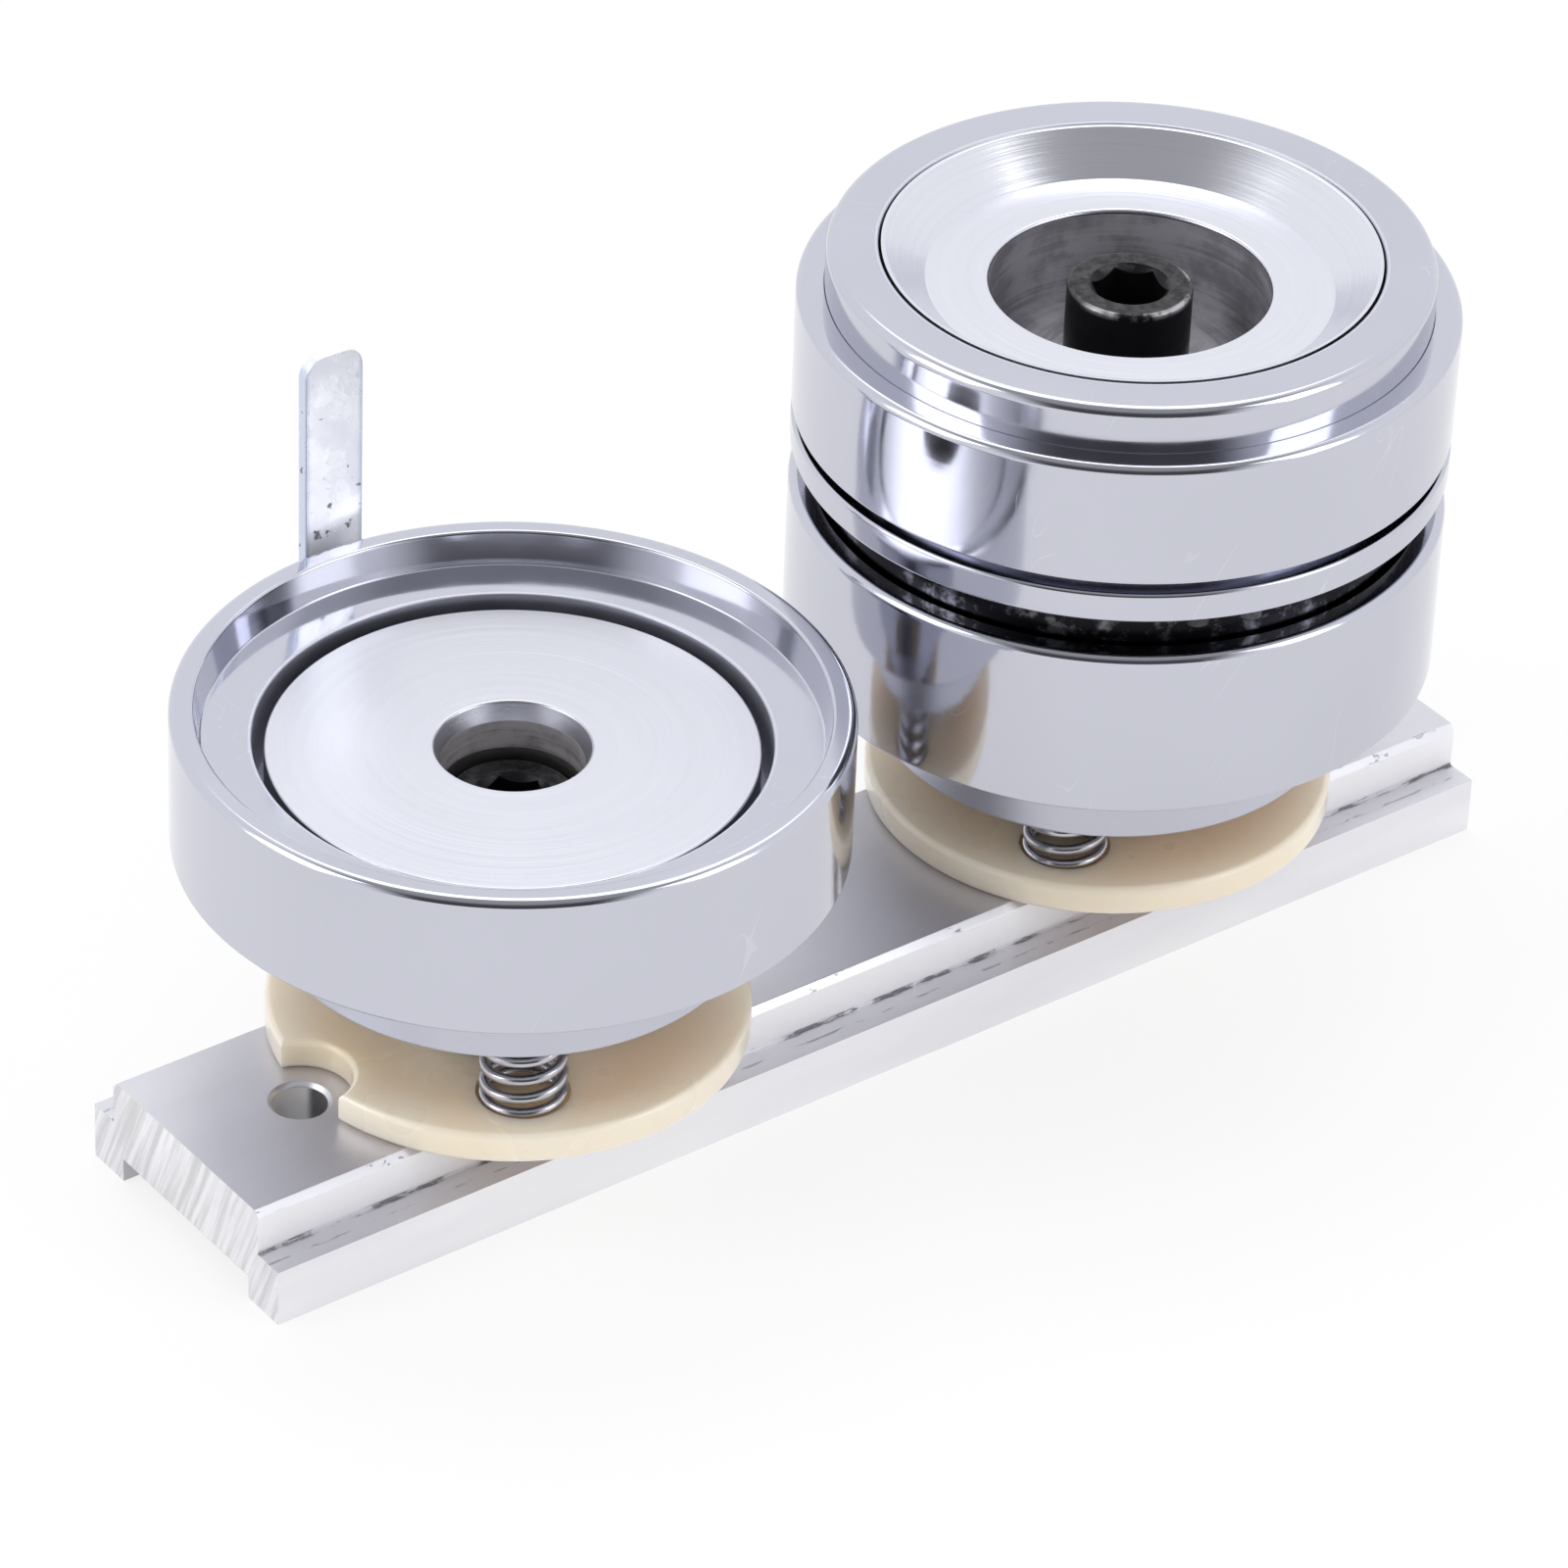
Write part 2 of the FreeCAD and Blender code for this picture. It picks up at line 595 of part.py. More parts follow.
def upper_carrier():
    """Body of the upper die: a ring with a shoulder for the punch and a skirt that enters ring B."""
    body = new_body("upper_carrier", DIE_B)
    outer = "Sizes.carrier_radius"
    turned(body, "carrier", [
        ("Sizes.skirt_bore", RING_SEAT),
        (outer, RING_SEAT),
        (outer, CARRIER_TOP),
        ("Sizes.carrier_bore", CARRIER_TOP),
        ("Sizes.carrier_bore", SHOULDER),
        ("Sizes.skirt_bore", SHOULDER),
    ])
    rounded(body, "top_edge", "Sizes.carrier_round", [(outer, CARRIER_TOP)])
    rounded(body, "bore_edge", "Sizes.plate_chamfer", [("Sizes.carrier_bore", CARRIER_TOP)], "Chamfer")
    root = f"({outer} - Sizes.snap_groove_depth)"
    beyond = f"({outer} + Sizes.snap_groove_depth)"
    foot = f"({SNAP_FOOT} - Sizes.snap_fit)"
    grooved(body, "snap_groove", [(root, foot), (beyond, foot), (beyond, BAND_FOOT), (root, BAND_FOOT)])
    near = "(Sizes.skirt_bore - Sizes.snap_groove_depth)"
    far = "(Sizes.circlip_radius + Sizes.snap_fit)"
    grooved(body, "circlip_groove", [
        (near, f"({CIRCLIP_FOOT} - Sizes.snap_fit)"),
        (far, f"({CIRCLIP_FOOT} - Sizes.snap_fit)"),
        (far, CIRCLIP_TOP),
        (near, CIRCLIP_TOP),
    ])


def plain_ring(label, bore, outer, foot, top, rounds):
    """Turned ring on die B's axis with rounded outer edges."""
    body = new_body(label, DIE_B)
    turned(body, "ring", [(bore, foot), (outer, foot), (outer, top), (bore, top)])
    for name, (height, size) in rounds.items():
        rounded(body, name, size, [(outer, height)])


def outer_sleeve():
    """Polished sleeve shrunk on the carrier."""
    bore = "(Sizes.carrier_radius + Sizes.sleeve_clearance)"
    rounds = {"top_edge": (SLEEVE_TOP, "Sizes.rim_round"), "foot_edge": (SLEEVE_FOOT, "Sizes.edge_round")}
    plain_ring("outer_sleeve", bore, "Sizes.ring_radius", SLEEVE_FOOT, SLEEVE_TOP, rounds)


def end_band():
    """Loose band under the sleeve, carried by the snap ring."""
    bore = "(Sizes.carrier_radius + Sizes.band_clearance)"
    rounds = {"top_edge": (BAND_TOP, "Sizes.edge_round"), "foot_edge": (BAND_FOOT, "Sizes.edge_round")}
    plain_ring("end_band", bore, "Sizes.ring_radius", BAND_FOOT, BAND_TOP, rounds)


def snap_ring():
    """External retaining ring: open at one side, with a drilled lug at each end."""
    body = new_body("snap_ring", DIE_B)
    bore = "(Sizes.carrier_radius - Sizes.snap_groove_depth + Sizes.snap_fit)"
    outer = "Sizes.snap_outer_radius"
    turned(body, "ring", [(bore, SNAP_FOOT), (outer, SNAP_FOOT), (outer, BAND_FOOT), (bore, BAND_FOOT)])
    lugs = []
    holes = []
    for side in ("-", "+"):
        swing = f"({side}(Sizes.snap_gap_width / 2 + Sizes.snap_lug_radius) / {outer} * 1 rad)"
        angle = f"(Sizes.snap_gap_angle * 1 deg + {swing})"
        place = (f"{outer} * cos({angle})", f"{outer} * sin({angle})")
        lugs.append((*place, "Sizes.snap_lug_radius"))
        holes.append((*place, "Sizes.snap_lug_hole"))
    raised(body, "lugs", circles(body, "lug_plan", SNAP_FOOT, lugs), "Sizes.snap_thickness")
    sunk(body, "lug_holes", circles(body, "lug_hole_plan", BAND_FOOT, holes), "Sizes.snap_thickness")
    opening = []
    for reach, side in (("0.9", "-"), ("1.1", "-"), ("1.1", "+"), ("0.9", "+")):
        swing = f"({side}Sizes.snap_gap_width / 2 / {outer} * 1 rad)"
        angle = f"(Sizes.snap_gap_angle * 1 deg + {swing})"
        opening.append((f"{outer} * {reach} * cos({angle})", f"{outer} * {reach} * sin({angle})"))
    sunk(body, "opening", outline(body, "opening_plan", "XY_Plane", opening, BAND_FOOT), "Sizes.snap_thickness")


def ram_cup():
    """Top piece of the punch: conical dish, ram socket and the flange that stops under the shoulder."""
    body = new_body("ram_cup", DIE_B)
    rim = "(Sizes.carrier_bore - Sizes.cup_clearance)"
    flange = "(Sizes.skirt_bore - Sizes.flange_clearance)"
    turned(body, "cup", [
        ("Sizes.shank_hole_radius", CUP_FOOT),
        ("Sizes.cup_skirt_radius", CUP_FOOT),
        ("Sizes.cup_skirt_radius", FLANGE_FOOT),
        (flange, FLANGE_FOOT),
        (flange, SHOULDER),
        (rim, SHOULDER),
        (rim, CARRIER_TOP),
        (f"{rim} - Sizes.cup_rim", CARRIER_TOP),
        ("Sizes.cone_foot_radius", ANNULUS),
        ("Sizes.socket_bore_radius", ANNULUS),
        ("Sizes.socket_bore_radius", SOCKET_FLOOR),
        ("Sizes.shank_hole_radius", SOCKET_FLOOR),
    ])
    rounded(body, "socket_edge", "Sizes.plate_chamfer", [("Sizes.socket_bore_radius", ANNULUS)])


def punch_plate():
    """Plate at the foot of the punch that meets the badge."""
    body = new_body("punch_plate", DIE_B)
    rim = "Sizes.badge_radius"
    bore = "Sizes.thread_hole_radius"
    turned(body, "plate", [(bore, PUNCH_FOOT), (rim, PUNCH_FOOT), (rim, CUP_FOOT), (bore, CUP_FOOT)])
    rounded(body, "pressing_edge", "Sizes.punch_round", [(rim, PUNCH_FOOT)])


def inner_circlip():
    """Retaining ring in the skirt that carries the punch's return spring."""
    plain_ring("inner_circlip", "Sizes.circlip_bore", "Sizes.circlip_radius", CIRCLIP_FOOT, CIRCLIP_TOP, {})


def punch_spring():
    """Return spring between the retaining ring and the cup's flange."""
    gap = value("Sizes.coil_end_gap")
    span = value(f"{FLANGE_FOOT} - {CIRCLIP_TOP}") - 2 * gap
    radius = value("Sizes.return_coil_radius")
    wire = value("Sizes.return_coil_wire")
    spring = coil(radius, wire, span, value("Sizes.return_coil_pitch"), RETURN_COIL_RUNS)
    spring.translate(FreeCAD.Vector(0, 0, gap))
    feature = doc.addObject("Part::Feature", "Coil_punch_spring")
    feature.Label = "punch_spring"
    feature.Shape = spring
    feature.setExpression("Placement.Base.x", DIE_B)
    feature.setExpression("Placement.Base.z", CIRCLIP_TOP)


def write_parts():
    """Recomputes the document, checks every object, and writes one STEP file for each sub-part."""
    doc.recompute()
    for item in doc.Objects:
        if "Invalid" in item.State or "Error" in item.State:
            raise RuntimeError(f"{item.Label} failed: {item.State}")
    pieces = [item for item in doc.Objects if item.TypeId in ("PartDesign::Body", "Part::Feature")]
    for piece in pieces:
        if piece.Shape.isNull() or not piece.Shape.isValid():
            raise RuntimeError(f"{piece.Label} has no valid shape")
    os.makedirs("parts", exist_ok=True)
    for piece in pieces:
        piece.Shape.exportStep(f"parts/{piece.Label}.step")
        print(f"{piece.Label}: {len(piece.Shape.Solids)} solid(s), {piece.Shape.Volume:.0f} mm3")


slide_rail()
base_disc("base_disc_a", DIE_A, "-", "Sizes.spring_angle_a", True)
base_disc("base_disc_b", DIE_B, "", "Sizes.spring_angle_b", False)
for die, axis in (("a", DIE_A), ("b", DIE_B)):
    stem(f"stem_{die}", axis)
    core_plate(f"core_plate_{die}", axis)
    cap_screw(f"core_screw_{die}", axis, BORE_FLOOR, "Sizes.channel_depth + Sizes.screw_end_gap")
float_ring("float_ring_a", DIE_A, "Sizes.ring_a_wall", "Sizes.hub_a_gap", "Sizes.seat_radius",
           "Sizes.ledge_fall", "Sizes.spring_angle_a")
float_ring("float_ring_b", DIE_B, "Sizes.ring_b_wall", "Sizes.hub_b_gap", "Sizes.rim_radius",
           "0", "Sizes.spring_angle_b")
die_springs("springs_a", DIE_A, "Sizes.hub_a_gap", "Sizes.spring_angle_a")
die_springs("springs_b", DIE_B, "Sizes.hub_b_gap", "Sizes.spring_angle_b")
handle_strip()
handle_screw()
upper_carrier()
outer_sleeve()
end_band()
snap_ring()
ram_cup()
punch_plate()
cap_screw("punch_screw", DIE_B, SOCKET_FLOOR, f"{PUNCH_FOOT} + Sizes.screw_end_gap")
inner_circlip()
punch_spring()
write_parts()
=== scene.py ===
# %% [markdown]
# # Die set of a hand badge press
# Two sprung lower dies stand on an aluminium slide rail, and the upper die rests on the second one. The
# engineering model gives every piece its place and size. This lesson turns it into a picture of polished, turned
# and plated metal: it remakes the pieces whose edges catch the light, and gives each one a finish made of nodes.

import math

import bmesh
import bpy
from mathutils import Matrix, Vector


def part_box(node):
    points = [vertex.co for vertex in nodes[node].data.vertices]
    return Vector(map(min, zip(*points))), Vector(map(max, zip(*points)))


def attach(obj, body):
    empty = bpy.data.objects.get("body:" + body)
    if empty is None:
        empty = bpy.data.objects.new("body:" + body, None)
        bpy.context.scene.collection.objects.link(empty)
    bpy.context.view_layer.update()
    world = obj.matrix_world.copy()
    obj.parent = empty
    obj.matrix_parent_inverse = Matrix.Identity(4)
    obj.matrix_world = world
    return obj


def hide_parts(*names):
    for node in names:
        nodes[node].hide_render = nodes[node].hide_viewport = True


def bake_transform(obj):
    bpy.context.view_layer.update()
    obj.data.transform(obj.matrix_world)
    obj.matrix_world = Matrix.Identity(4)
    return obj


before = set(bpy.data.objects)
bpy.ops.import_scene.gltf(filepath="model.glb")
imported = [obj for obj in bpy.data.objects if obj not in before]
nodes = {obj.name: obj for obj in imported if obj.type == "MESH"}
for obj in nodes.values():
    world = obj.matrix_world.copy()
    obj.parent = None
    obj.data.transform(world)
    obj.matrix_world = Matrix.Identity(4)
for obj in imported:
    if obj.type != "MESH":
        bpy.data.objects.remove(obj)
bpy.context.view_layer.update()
MM = 0.001

# %% [markdown]
# Both dies are turned on a lathe, so each has an upright axis that everything on it is centred on. The middle of a
# pressing plate's box gives that axis.


# %% Find the axes of the dies
def middle_x(node):
    """X of the middle of a node's box."""
    low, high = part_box(node)
    return (low.x + high.x) / 2


AXIS = {"a": middle_x("core_plate_a"), "b": middle_x("core_plate_b")}
print("die axes, mm:", {die: round(x / MM, 2) for die, x in AXIS.items()})

# %% [markdown]
# ## The camera and the light
# The camera looks down on the front left corner with a long lens, as a catalogue picture does. It is placed by its
# three axes: right, up and back.

# %% Camera
CAMERA_PLACE = Vector((-0.4867, -0.6193, 0.5702))
RIGHT = Vector((0.80304, -0.59491, 0.03485))
UP = Vector((0.31378, 0.47183, 0.82397))
BACK = Vector((-0.50663, -0.65074, 0.56557))
SENSOR_WIDTH, FOCAL_LENGTH = 36, 181.5

lens = bpy.data.cameras.new("camera")
lens.sensor_width = SENSOR_WIDTH
lens.lens = FOCAL_LENGTH
lens.clip_end = 20
camera = bpy.data.objects.new("camera", lens)
camera.matrix_world = Matrix.Translation(CAMERA_PLACE) @ Matrix((RIGHT, UP, BACK)).transposed().to_4x4()
bpy.context.scene.collection.objects.link(camera)
bpy.context.scene.camera = camera
bpy.context.scene.view_settings.view_transform = "Standard"
print("camera distance, m:", round(CAMERA_PLACE.length, 3))

# %% [markdown]
# Node materials are easier to read as sums than as a web of links. This class wraps one output socket, so that
# Python's operators add the Math nodes. Its make method adds any other node, and the rest are shorthands for the
# nodes that come up most often.


# %% Write shader nodes as expressions
class Flow:
    """One output socket of a node tree."""

    def __init__(self, out):
        self.out = out
        self.tree = out.id_data

    def make(self, kind, settings, inputs, output=0):
        """Adds a node: its settings first, then the values or links of its sockets."""
        node = self.tree.nodes.new("ShaderNode" + kind)
        for name, setting in settings.items():
            setattr(node, name, setting)
        for name, source in inputs.items():
            if isinstance(source, Flow):
                self.tree.links.new(source.out, node.inputs[name])
            else:
                node.inputs[name].default_value = source
        if output is None:
            return [Flow(out) for out in node.outputs]
        return Flow(node.outputs[output])

    def math(self, operation, *others):
        """A Math node with this value as its first operand."""
        return self.make("Math", {"operation": operation}, dict(enumerate((self, *others))))

    def vector(self, operation, *others, output=0):
        """A Vector Math node with this vector as its first operand."""
        return self.make("VectorMath", {"operation": operation}, dict(enumerate((self, *others))), output)

    def size(self):
        """The value without its sign."""
        return self.math("ABSOLUTE")

    def reach(self, other):
        """How far the point (this value, the other value) lies from the origin."""
        return (self * self + other * other).math("SQRT")

    def scaled(self, factor):
        """The vector times a number."""
        return self.make("VectorMath", {"operation": "SCALE"}, {0: self, "Scale": factor})

    def ramp(self, low, high, start=0.0, end=1.0):
        """Moves smoothly from start to end while this value goes from low to high."""
        places = {0: self, 1: low, 2: high, 3: start, 4: end}
        return self.make("MapRange", {"interpolation_type": "SMOOTHSTEP"}, places)

    def span(self, low, high):
        """A mask of places in millimetres: 0 up to low and 1 from high on."""
        return self.ramp(low * MM, high * MM)

    def mix(self, first, second):
        """Two colours mixed by this value."""
        return self.make("Mix", {"data_type": "RGBA"}, {0: self, 6: first, 7: second}, output=2)

    def split(self):
        """The three parts of a vector."""
        return self.make("SeparateXYZ", {}, {0: self}, output=None)

    def join(self, second, third):
        """The vector of this value and two more."""
        return self.make("CombineXYZ", {}, {0: self, 1: second, 2: third})

    def noise(self, scale, detail=3.0, roughness=0.55, distortion=0.0):
        """Noise from 0 to 1 at this place."""
        shape = {"Scale": scale, "Detail": detail, "Roughness": roughness, "Distortion": distortion}
        return self.make("TexNoise", {}, {"Vector": self, **shape})

    def facing(self):
        """The surface's normal, in the tree that this socket is in."""
        return self.make("NewGeometry", {}, {}, output=1)

    def __add__(self, other):
        return self.math("ADD", other)

    def __sub__(self, other):
        return self.math("SUBTRACT", other)

    def __rsub__(self, other):
        return self.make("Math", {"operation": "SUBTRACT"}, {0: other, 1: self})

    def __mul__(self, other):
        return self.math("MULTIPLY", other)

    def __truediv__(self, other):
        return self.math("DIVIDE", other)


# %% [markdown]
# Polished metal shows its surroundings, so the room matters more than the lamps. The room here is bright behind the
# object and at its sides, and dim on the camera's side. Two tall soft lamps at the sides and one above give the
# highlights, and that contrast draws the dark and light lines along every rounded rim. A fourth lamp fills the
# camera's side for the nylon and other matt surfaces, and mirrors don't see it.

# %% Light the room
# A ramp's two numbers are the parts of a direction, towards that side, where it starts and where it is full.
AWAY = Vector((-BACK.x, -BACK.y, 0)).normalized()
SIDE = Vector((RIGHT.x, RIGHT.y, 0)).normalized()
ROOM_TINT = (0.965, 0.975, 1.0, 1.0)
DIM, DIM_HIGH, BRIGHT = 0.085, 0.42, 1.05
OVERHEAD = (0.52, 0.9)
FAR_SIDE = (-0.05, 0.4)
BOTH_SIDES = (0.42, 0.72)

world = bpy.data.worlds.new("room")
world.use_nodes = True
bpy.context.scene.world = world
toward = Flow(world.node_tree.nodes.new("ShaderNodeTexCoord").outputs["Generated"])
height = toward.split()[2]
behind = toward.vector("DOT_PRODUCT", tuple(AWAY), output=1)
beside = toward.vector("DOT_PRODUCT", tuple(SIDE), output=1).size()
glow = behind.ramp(*FAR_SIDE).math("MAXIMUM", beside.ramp(*BOTH_SIDES))
dim = height.ramp(*OVERHEAD, DIM, DIM_HIGH)
room = world.node_tree.nodes["Background"]
room.inputs["Color"].default_value = ROOM_TINT
level = dim + glow * (BRIGHT - dim)
world.node_tree.links.new(level.out, room.inputs["Strength"])


def soft_lamp(name, direction, distance, width, tall, radiance):
    """A rectangular lamp that faces the object; its power follows from its radiance and size."""
    data = bpy.data.lights.new(name, "AREA")
    data.shape = "RECTANGLE"
    data.size, data.size_y = width, tall
    data.energy = radiance * math.pi * width * tall
    lamp = bpy.data.objects.new(name, data)
    lamp.location = Vector(direction).normalized() * distance
    lamp.rotation_euler = lamp.location.to_track_quat("Z", "Y").to_euler()
    bpy.context.scene.collection.objects.link(lamp)
    return lamp


LAMPS = {
    "lamp_left": {"direction": (-0.80, 0.28, 0.57), "distance": 0.95, "width": 0.44, "tall": 0.6, "radiance": 2.5},
    "lamp_right": {"direction": (0.43, -0.67, 0.57), "distance": 0.95, "width": 0.36, "tall": 0.6, "radiance": 2.0},
    "lamp_above": {"direction": (0.28, 0.36, 0.89), "distance": 1.0, "width": 0.6, "tall": 0.6, "radiance": 1.4},
    "lamp_fill": {"direction": (-0.50, -0.66, 0.62), "distance": 1.3, "width": 0.9, "tall": 0.9, "radiance": 1.75},
}
lamps = {name: soft_lamp(name, **setting) for name, setting in LAMPS.items()}
lamps["lamp_fill"].visible_glossy = False
print("lamps:", sorted(lamps))

# %% [markdown]
# The floor is a wide pale sheet. A share of its brightness is its own glow, for the eye and for mirrors alike, and
# the rest is plain diffuse paint, so the object keeps a soft shadow under it.

# %% Floor
FLOOR_PAINT = (0.93, 0.93, 0.935, 1.0)
FLOOR_GLOW = 0.78
FLOOR_HALF = 4

sheet = bmesh.new()
bmesh.ops.create_grid(sheet, x_segments=2, y_segments=2, size=FLOOR_HALF)
floor_mesh = bpy.data.meshes.new("floor")
sheet.to_mesh(floor_mesh)
sheet.free()
floor = bpy.data.objects.new("floor", floor_mesh)
bpy.context.scene.collection.objects.link(floor)
paint = bpy.data.materials.new("pale_floor")
paint.use_nodes = True
paint_tree = paint.node_tree
paint_tree.nodes.remove(paint_tree.nodes["Principled BSDF"])
ray = paint_tree.nodes.new("ShaderNodeLightPath")
seen = Flow(ray.outputs["Is Camera Ray"])
for kind in ("Is Glossy Ray", "Is Transmission Ray"):
    seen = seen.math("MAXIMUM", Flow(ray.outputs[kind]))
matt = seen.make("BsdfDiffuse", {}, {"Color": FLOOR_PAINT})
glowing = seen.make("Emission", {}, {"Color": (1, 1, 1, 1), "Strength": 1.0})
surface = seen.make("MixShader", {}, {0: seen * FLOOR_GLOW, 1: matt, 2: glowing})
paint_tree.links.new(surface.out, paint_tree.nodes["Material Output"].inputs["Surface"])
floor_mesh.materials.append(paint)
print("floor, m:", tuple(round(value, 1) for value in floor.dimensions))

# %% [markdown]
# ## Finishes
# Every finish starts from the same Principled shader. What stays the same all over is set on its sockets, and what
# varies is linked. A turned surface also needs its place and its radius about the die's axis, with a trifle added to
# the radius so that nothing is divided by zero on the axis itself.


# %% Start a finish
ON_AXIS = 1e-6


def new_finish(name, **fixed):
    """A material, its Principled shader and the Object coordinates, with the fixed sockets set."""
    material = bpy.data.materials.new(name)
    material.use_nodes = True
    shader = material.node_tree.nodes["Principled BSDF"]
    for socket, value in fixed.items():
        shader.inputs[socket.replace("_", " ")].default_value = value
    place = Flow(material.node_tree.nodes.new("ShaderNodeTexCoord").outputs["Object"])
    return material, shader, place


def darker(colour, share):
    """The colour with its three parts scaled."""
    return tuple(part * share for part in colour[:3]) + (1,)


def link(shader, **sources):
    """Links values to the shader's sockets."""
    for socket, source in sources.items():
        source.tree.links.new(source.out, shader.inputs[socket.replace("_", " ")])


def lathe_place(place, axis):
    """(x, y, z, radius) about an upright axis at x = axis."""
    x, y, z = place.vector("SUBTRACT", (axis, 0, 0)).split()
    return x, y, z, x.reach(y) + ON_AXIS


# %% [markdown]
# A lathe tool leaves fine grooves round the axis. Each groove tilts the surface a little towards or away from the
# axis, and that draws a highlight out into the wedges that turned faces show. A bump texture could do it, but
# tilting the normal straight from a noise along the profile is steadier for grooves as fine as these.


# %% Lathe marks
def lathe_normal(x, y, z, radius, depth, spacing, drift=1.2):
    """A normal tilted across the lathe marks; spacing is the width of the broadest marks in metres."""
    along = (radius + z) / spacing
    seat = along.join(x / radius * drift, y / radius * drift)
    marks = seat.noise(1.0, detail=4.0, roughness=0.7) - 0.5
    around = (y / radius * -1).join(x / radius, 0.0)
    facing = x.facing()
    across = around.vector("CROSS_PRODUCT", facing)
    return facing.vector("ADD", across.scaled(marks * depth)).vector("NORMALIZE")


# %% [markdown]
# The rings are polished steel with a hard chrome look: nearly a mirror, with faint smears from handling that only
# show as a change of gloss, and a few hair scratches.


# %% Polished rings
def hair_scratches(place, turn, stretch, density):
    """Thin hairlines, 1 on a line: level lines of a far stretched noise, kept where a broader noise allows."""
    settings = {"vector_type": "TEXTURE"}
    laid = place.make("Mapping", settings, {"Vector": place, "Rotation": turn, "Scale": stretch})
    level = (laid.noise(1.0, detail=0.0) - 0.5).size()
    patch = place.noise(density)
    return level.ramp(0.003, 0.010, 1.0, 0.0) * patch.ramp(0.56, 0.64)


POLISH_MARKS = 0.9 * MM
BORE_WALL = (30.9, 30.7)
SKIRT_WALL = (33.5, 34.5)
SKIRT_SHADE, SKIRT_SHADE_THIN = (0.012, 0.012, 0.014, 1), (0.15, 0.15, 0.17, 1)
BARE_SCRATCH = (0.85, 0.86, 0.9, 1)


def polished(name, axis, colour, depth=0.02, gloss=0.075, below=None):
    """Polished steel about one axis, duller in its bore; below a given height, on its skirt, it turns dark with painted
    shade.
    """
    material, shader, place = new_finish(name, Metallic=1.0)
    x, y, z, radius = lathe_place(place, axis)
    smear = place.noise(38, detail=4, roughness=0.62)
    cloud = place.noise(14, detail=2)
    scratch = hair_scratches(place, (0.5, 0.2, 0.9), (0.003, 0.003, 0.05), 70)
    rough = smear.ramp(0.38, 0.72, gloss, gloss + 0.09) + scratch * 0.08
    tone = cloud.ramp(0.3, 0.75).mix(colour, darker(colour, 0.93))
    rough = rough + radius.span(*BORE_WALL) * 0.3
    tone = (scratch * 0.2).mix(tone, BARE_SCRATCH)
    if below is not None:
        # Painted shade: below the band, the skirt is darkened nearly to black in mottled patches.
        shaded_skirt = z.ramp(below - 0.2 * MM, below, 1.0, 0.0) * radius.span(*SKIRT_WALL)
        shade_mottle = place.noise(230, detail=4, roughness=0.65).ramp(0.52, 0.68)
        tone = shaded_skirt.mix(tone, shade_mottle.mix(SKIRT_SHADE, SKIRT_SHADE_THIN))
        rough = rough + shaded_skirt * 0.12
    link(shader, Base_Color=tone, Roughness=rough, Normal=lathe_normal(x, y, z, radius, depth, POLISH_MARKS))
    return material


STEEL = (0.585, 0.592, 0.662, 1)
polish = {die: polished(f"polished_ring_{die}", AXIS[die], STEEL) for die in "ab"}
carrier_finish = polished("polished_carrier", AXIS["b"], STEEL, depth=0.035, below=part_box("end_band")[0].z)
print("polished:", [material.name for material in polish.values()], carrier_finish.name)

# %% [markdown]
# The pressing plate and the dish of the upper die keep their turned surface: finer or coarser grooves, a little
# lighter than the polished rings. The wells that their screws stand in get painted shade, darker and mottled, and are
# rougher.


# %% Turned faces
RING_WIDTH = 0.7 * MM


def turned(name, axis, colour, depth, spacing, gloss, well=None):
    """Turned steel about one axis; a well of a given radius and top gets painted shade, darker and mottled, and is
    rougher.
    """
    material, shader, place = new_finish(name, Metallic=1.0)
    x, y, z, radius = lathe_place(place, axis)
    rings = ((radius + z) / RING_WIDTH).join(x / radius * 0.6, y / radius * 0.6).noise(1.0, detail=3, roughness=0.6)
    cloud = place.noise(55, detail=4, roughness=0.6)
    tone = (rings * 0.6 + cloud * 0.4).ramp(0.35, 0.7)
    tone = tone.mix(colour, darker(colour, 0.95))
    rough = cloud.ramp(0.35, 0.7, gloss, gloss + 0.04) + (rings - 0.5) * 0.05
    if well is not None:
        edge, top, shade = well
        # Painted shade: inside the well, the tone is darkened and mottled and made less metallic.
        inside = radius.ramp(edge, edge + 0.1 * MM, 1.0, 0.0) * z.ramp(top - 0.4 * MM, top - 0.1 * MM, 1.0, 0.0)
        mottled_shade = place.noise(150, detail=4, roughness=0.65) * 0.6 + rings * 0.4
        mottled_shade = mottled_shade.ramp(0.38, 0.6)
        tone = inside.mix(tone, mottled_shade.mix(darker(shade, 0.55), shade))
        rough = rough + inside * 0.16
        link(shader, Metallic=1 - inside * 0.55)
    link(shader, Base_Color=tone, Roughness=rough, Normal=lathe_normal(x, y, z, radius, depth, spacing, 0.35))
    return material


FACE, DISH = (0.63, 0.635, 0.69, 1), (0.735, 0.74, 0.80, 1)
WELL_SHADE = (0.44, 0.43, 0.47, 1)
BORE_WELL = (8.5 * MM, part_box("core_plate_a")[1].z - 2.0 * MM, (0.46, 0.44, 0.46, 1))
CUP_WELL = (17.02 * MM, 85.8 * MM, WELL_SHADE)
UNDER_CUP = (18 * MM, 77 * MM, WELL_SHADE)
turned_a = turned("turned_face_a", AXIS["a"], FACE, depth=0.2, spacing=0.11 * MM, gloss=0.28, well=BORE_WELL)
turned_b = turned("turned_face_b", AXIS["b"], FACE, depth=0.12, spacing=0.8 * MM, gloss=0.26, well=UNDER_CUP)
cup_finish = turned("turned_cup", AXIS["b"], DISH, depth=0.30, spacing=0.16 * MM, gloss=0.2, well=CUP_WELL)
print("turned:", turned_a.name, turned_b.name, cup_finish.name)

# %% [markdown]
# The stems and retaining rings sit in the shade: satin steel and a dark phosphate coat.

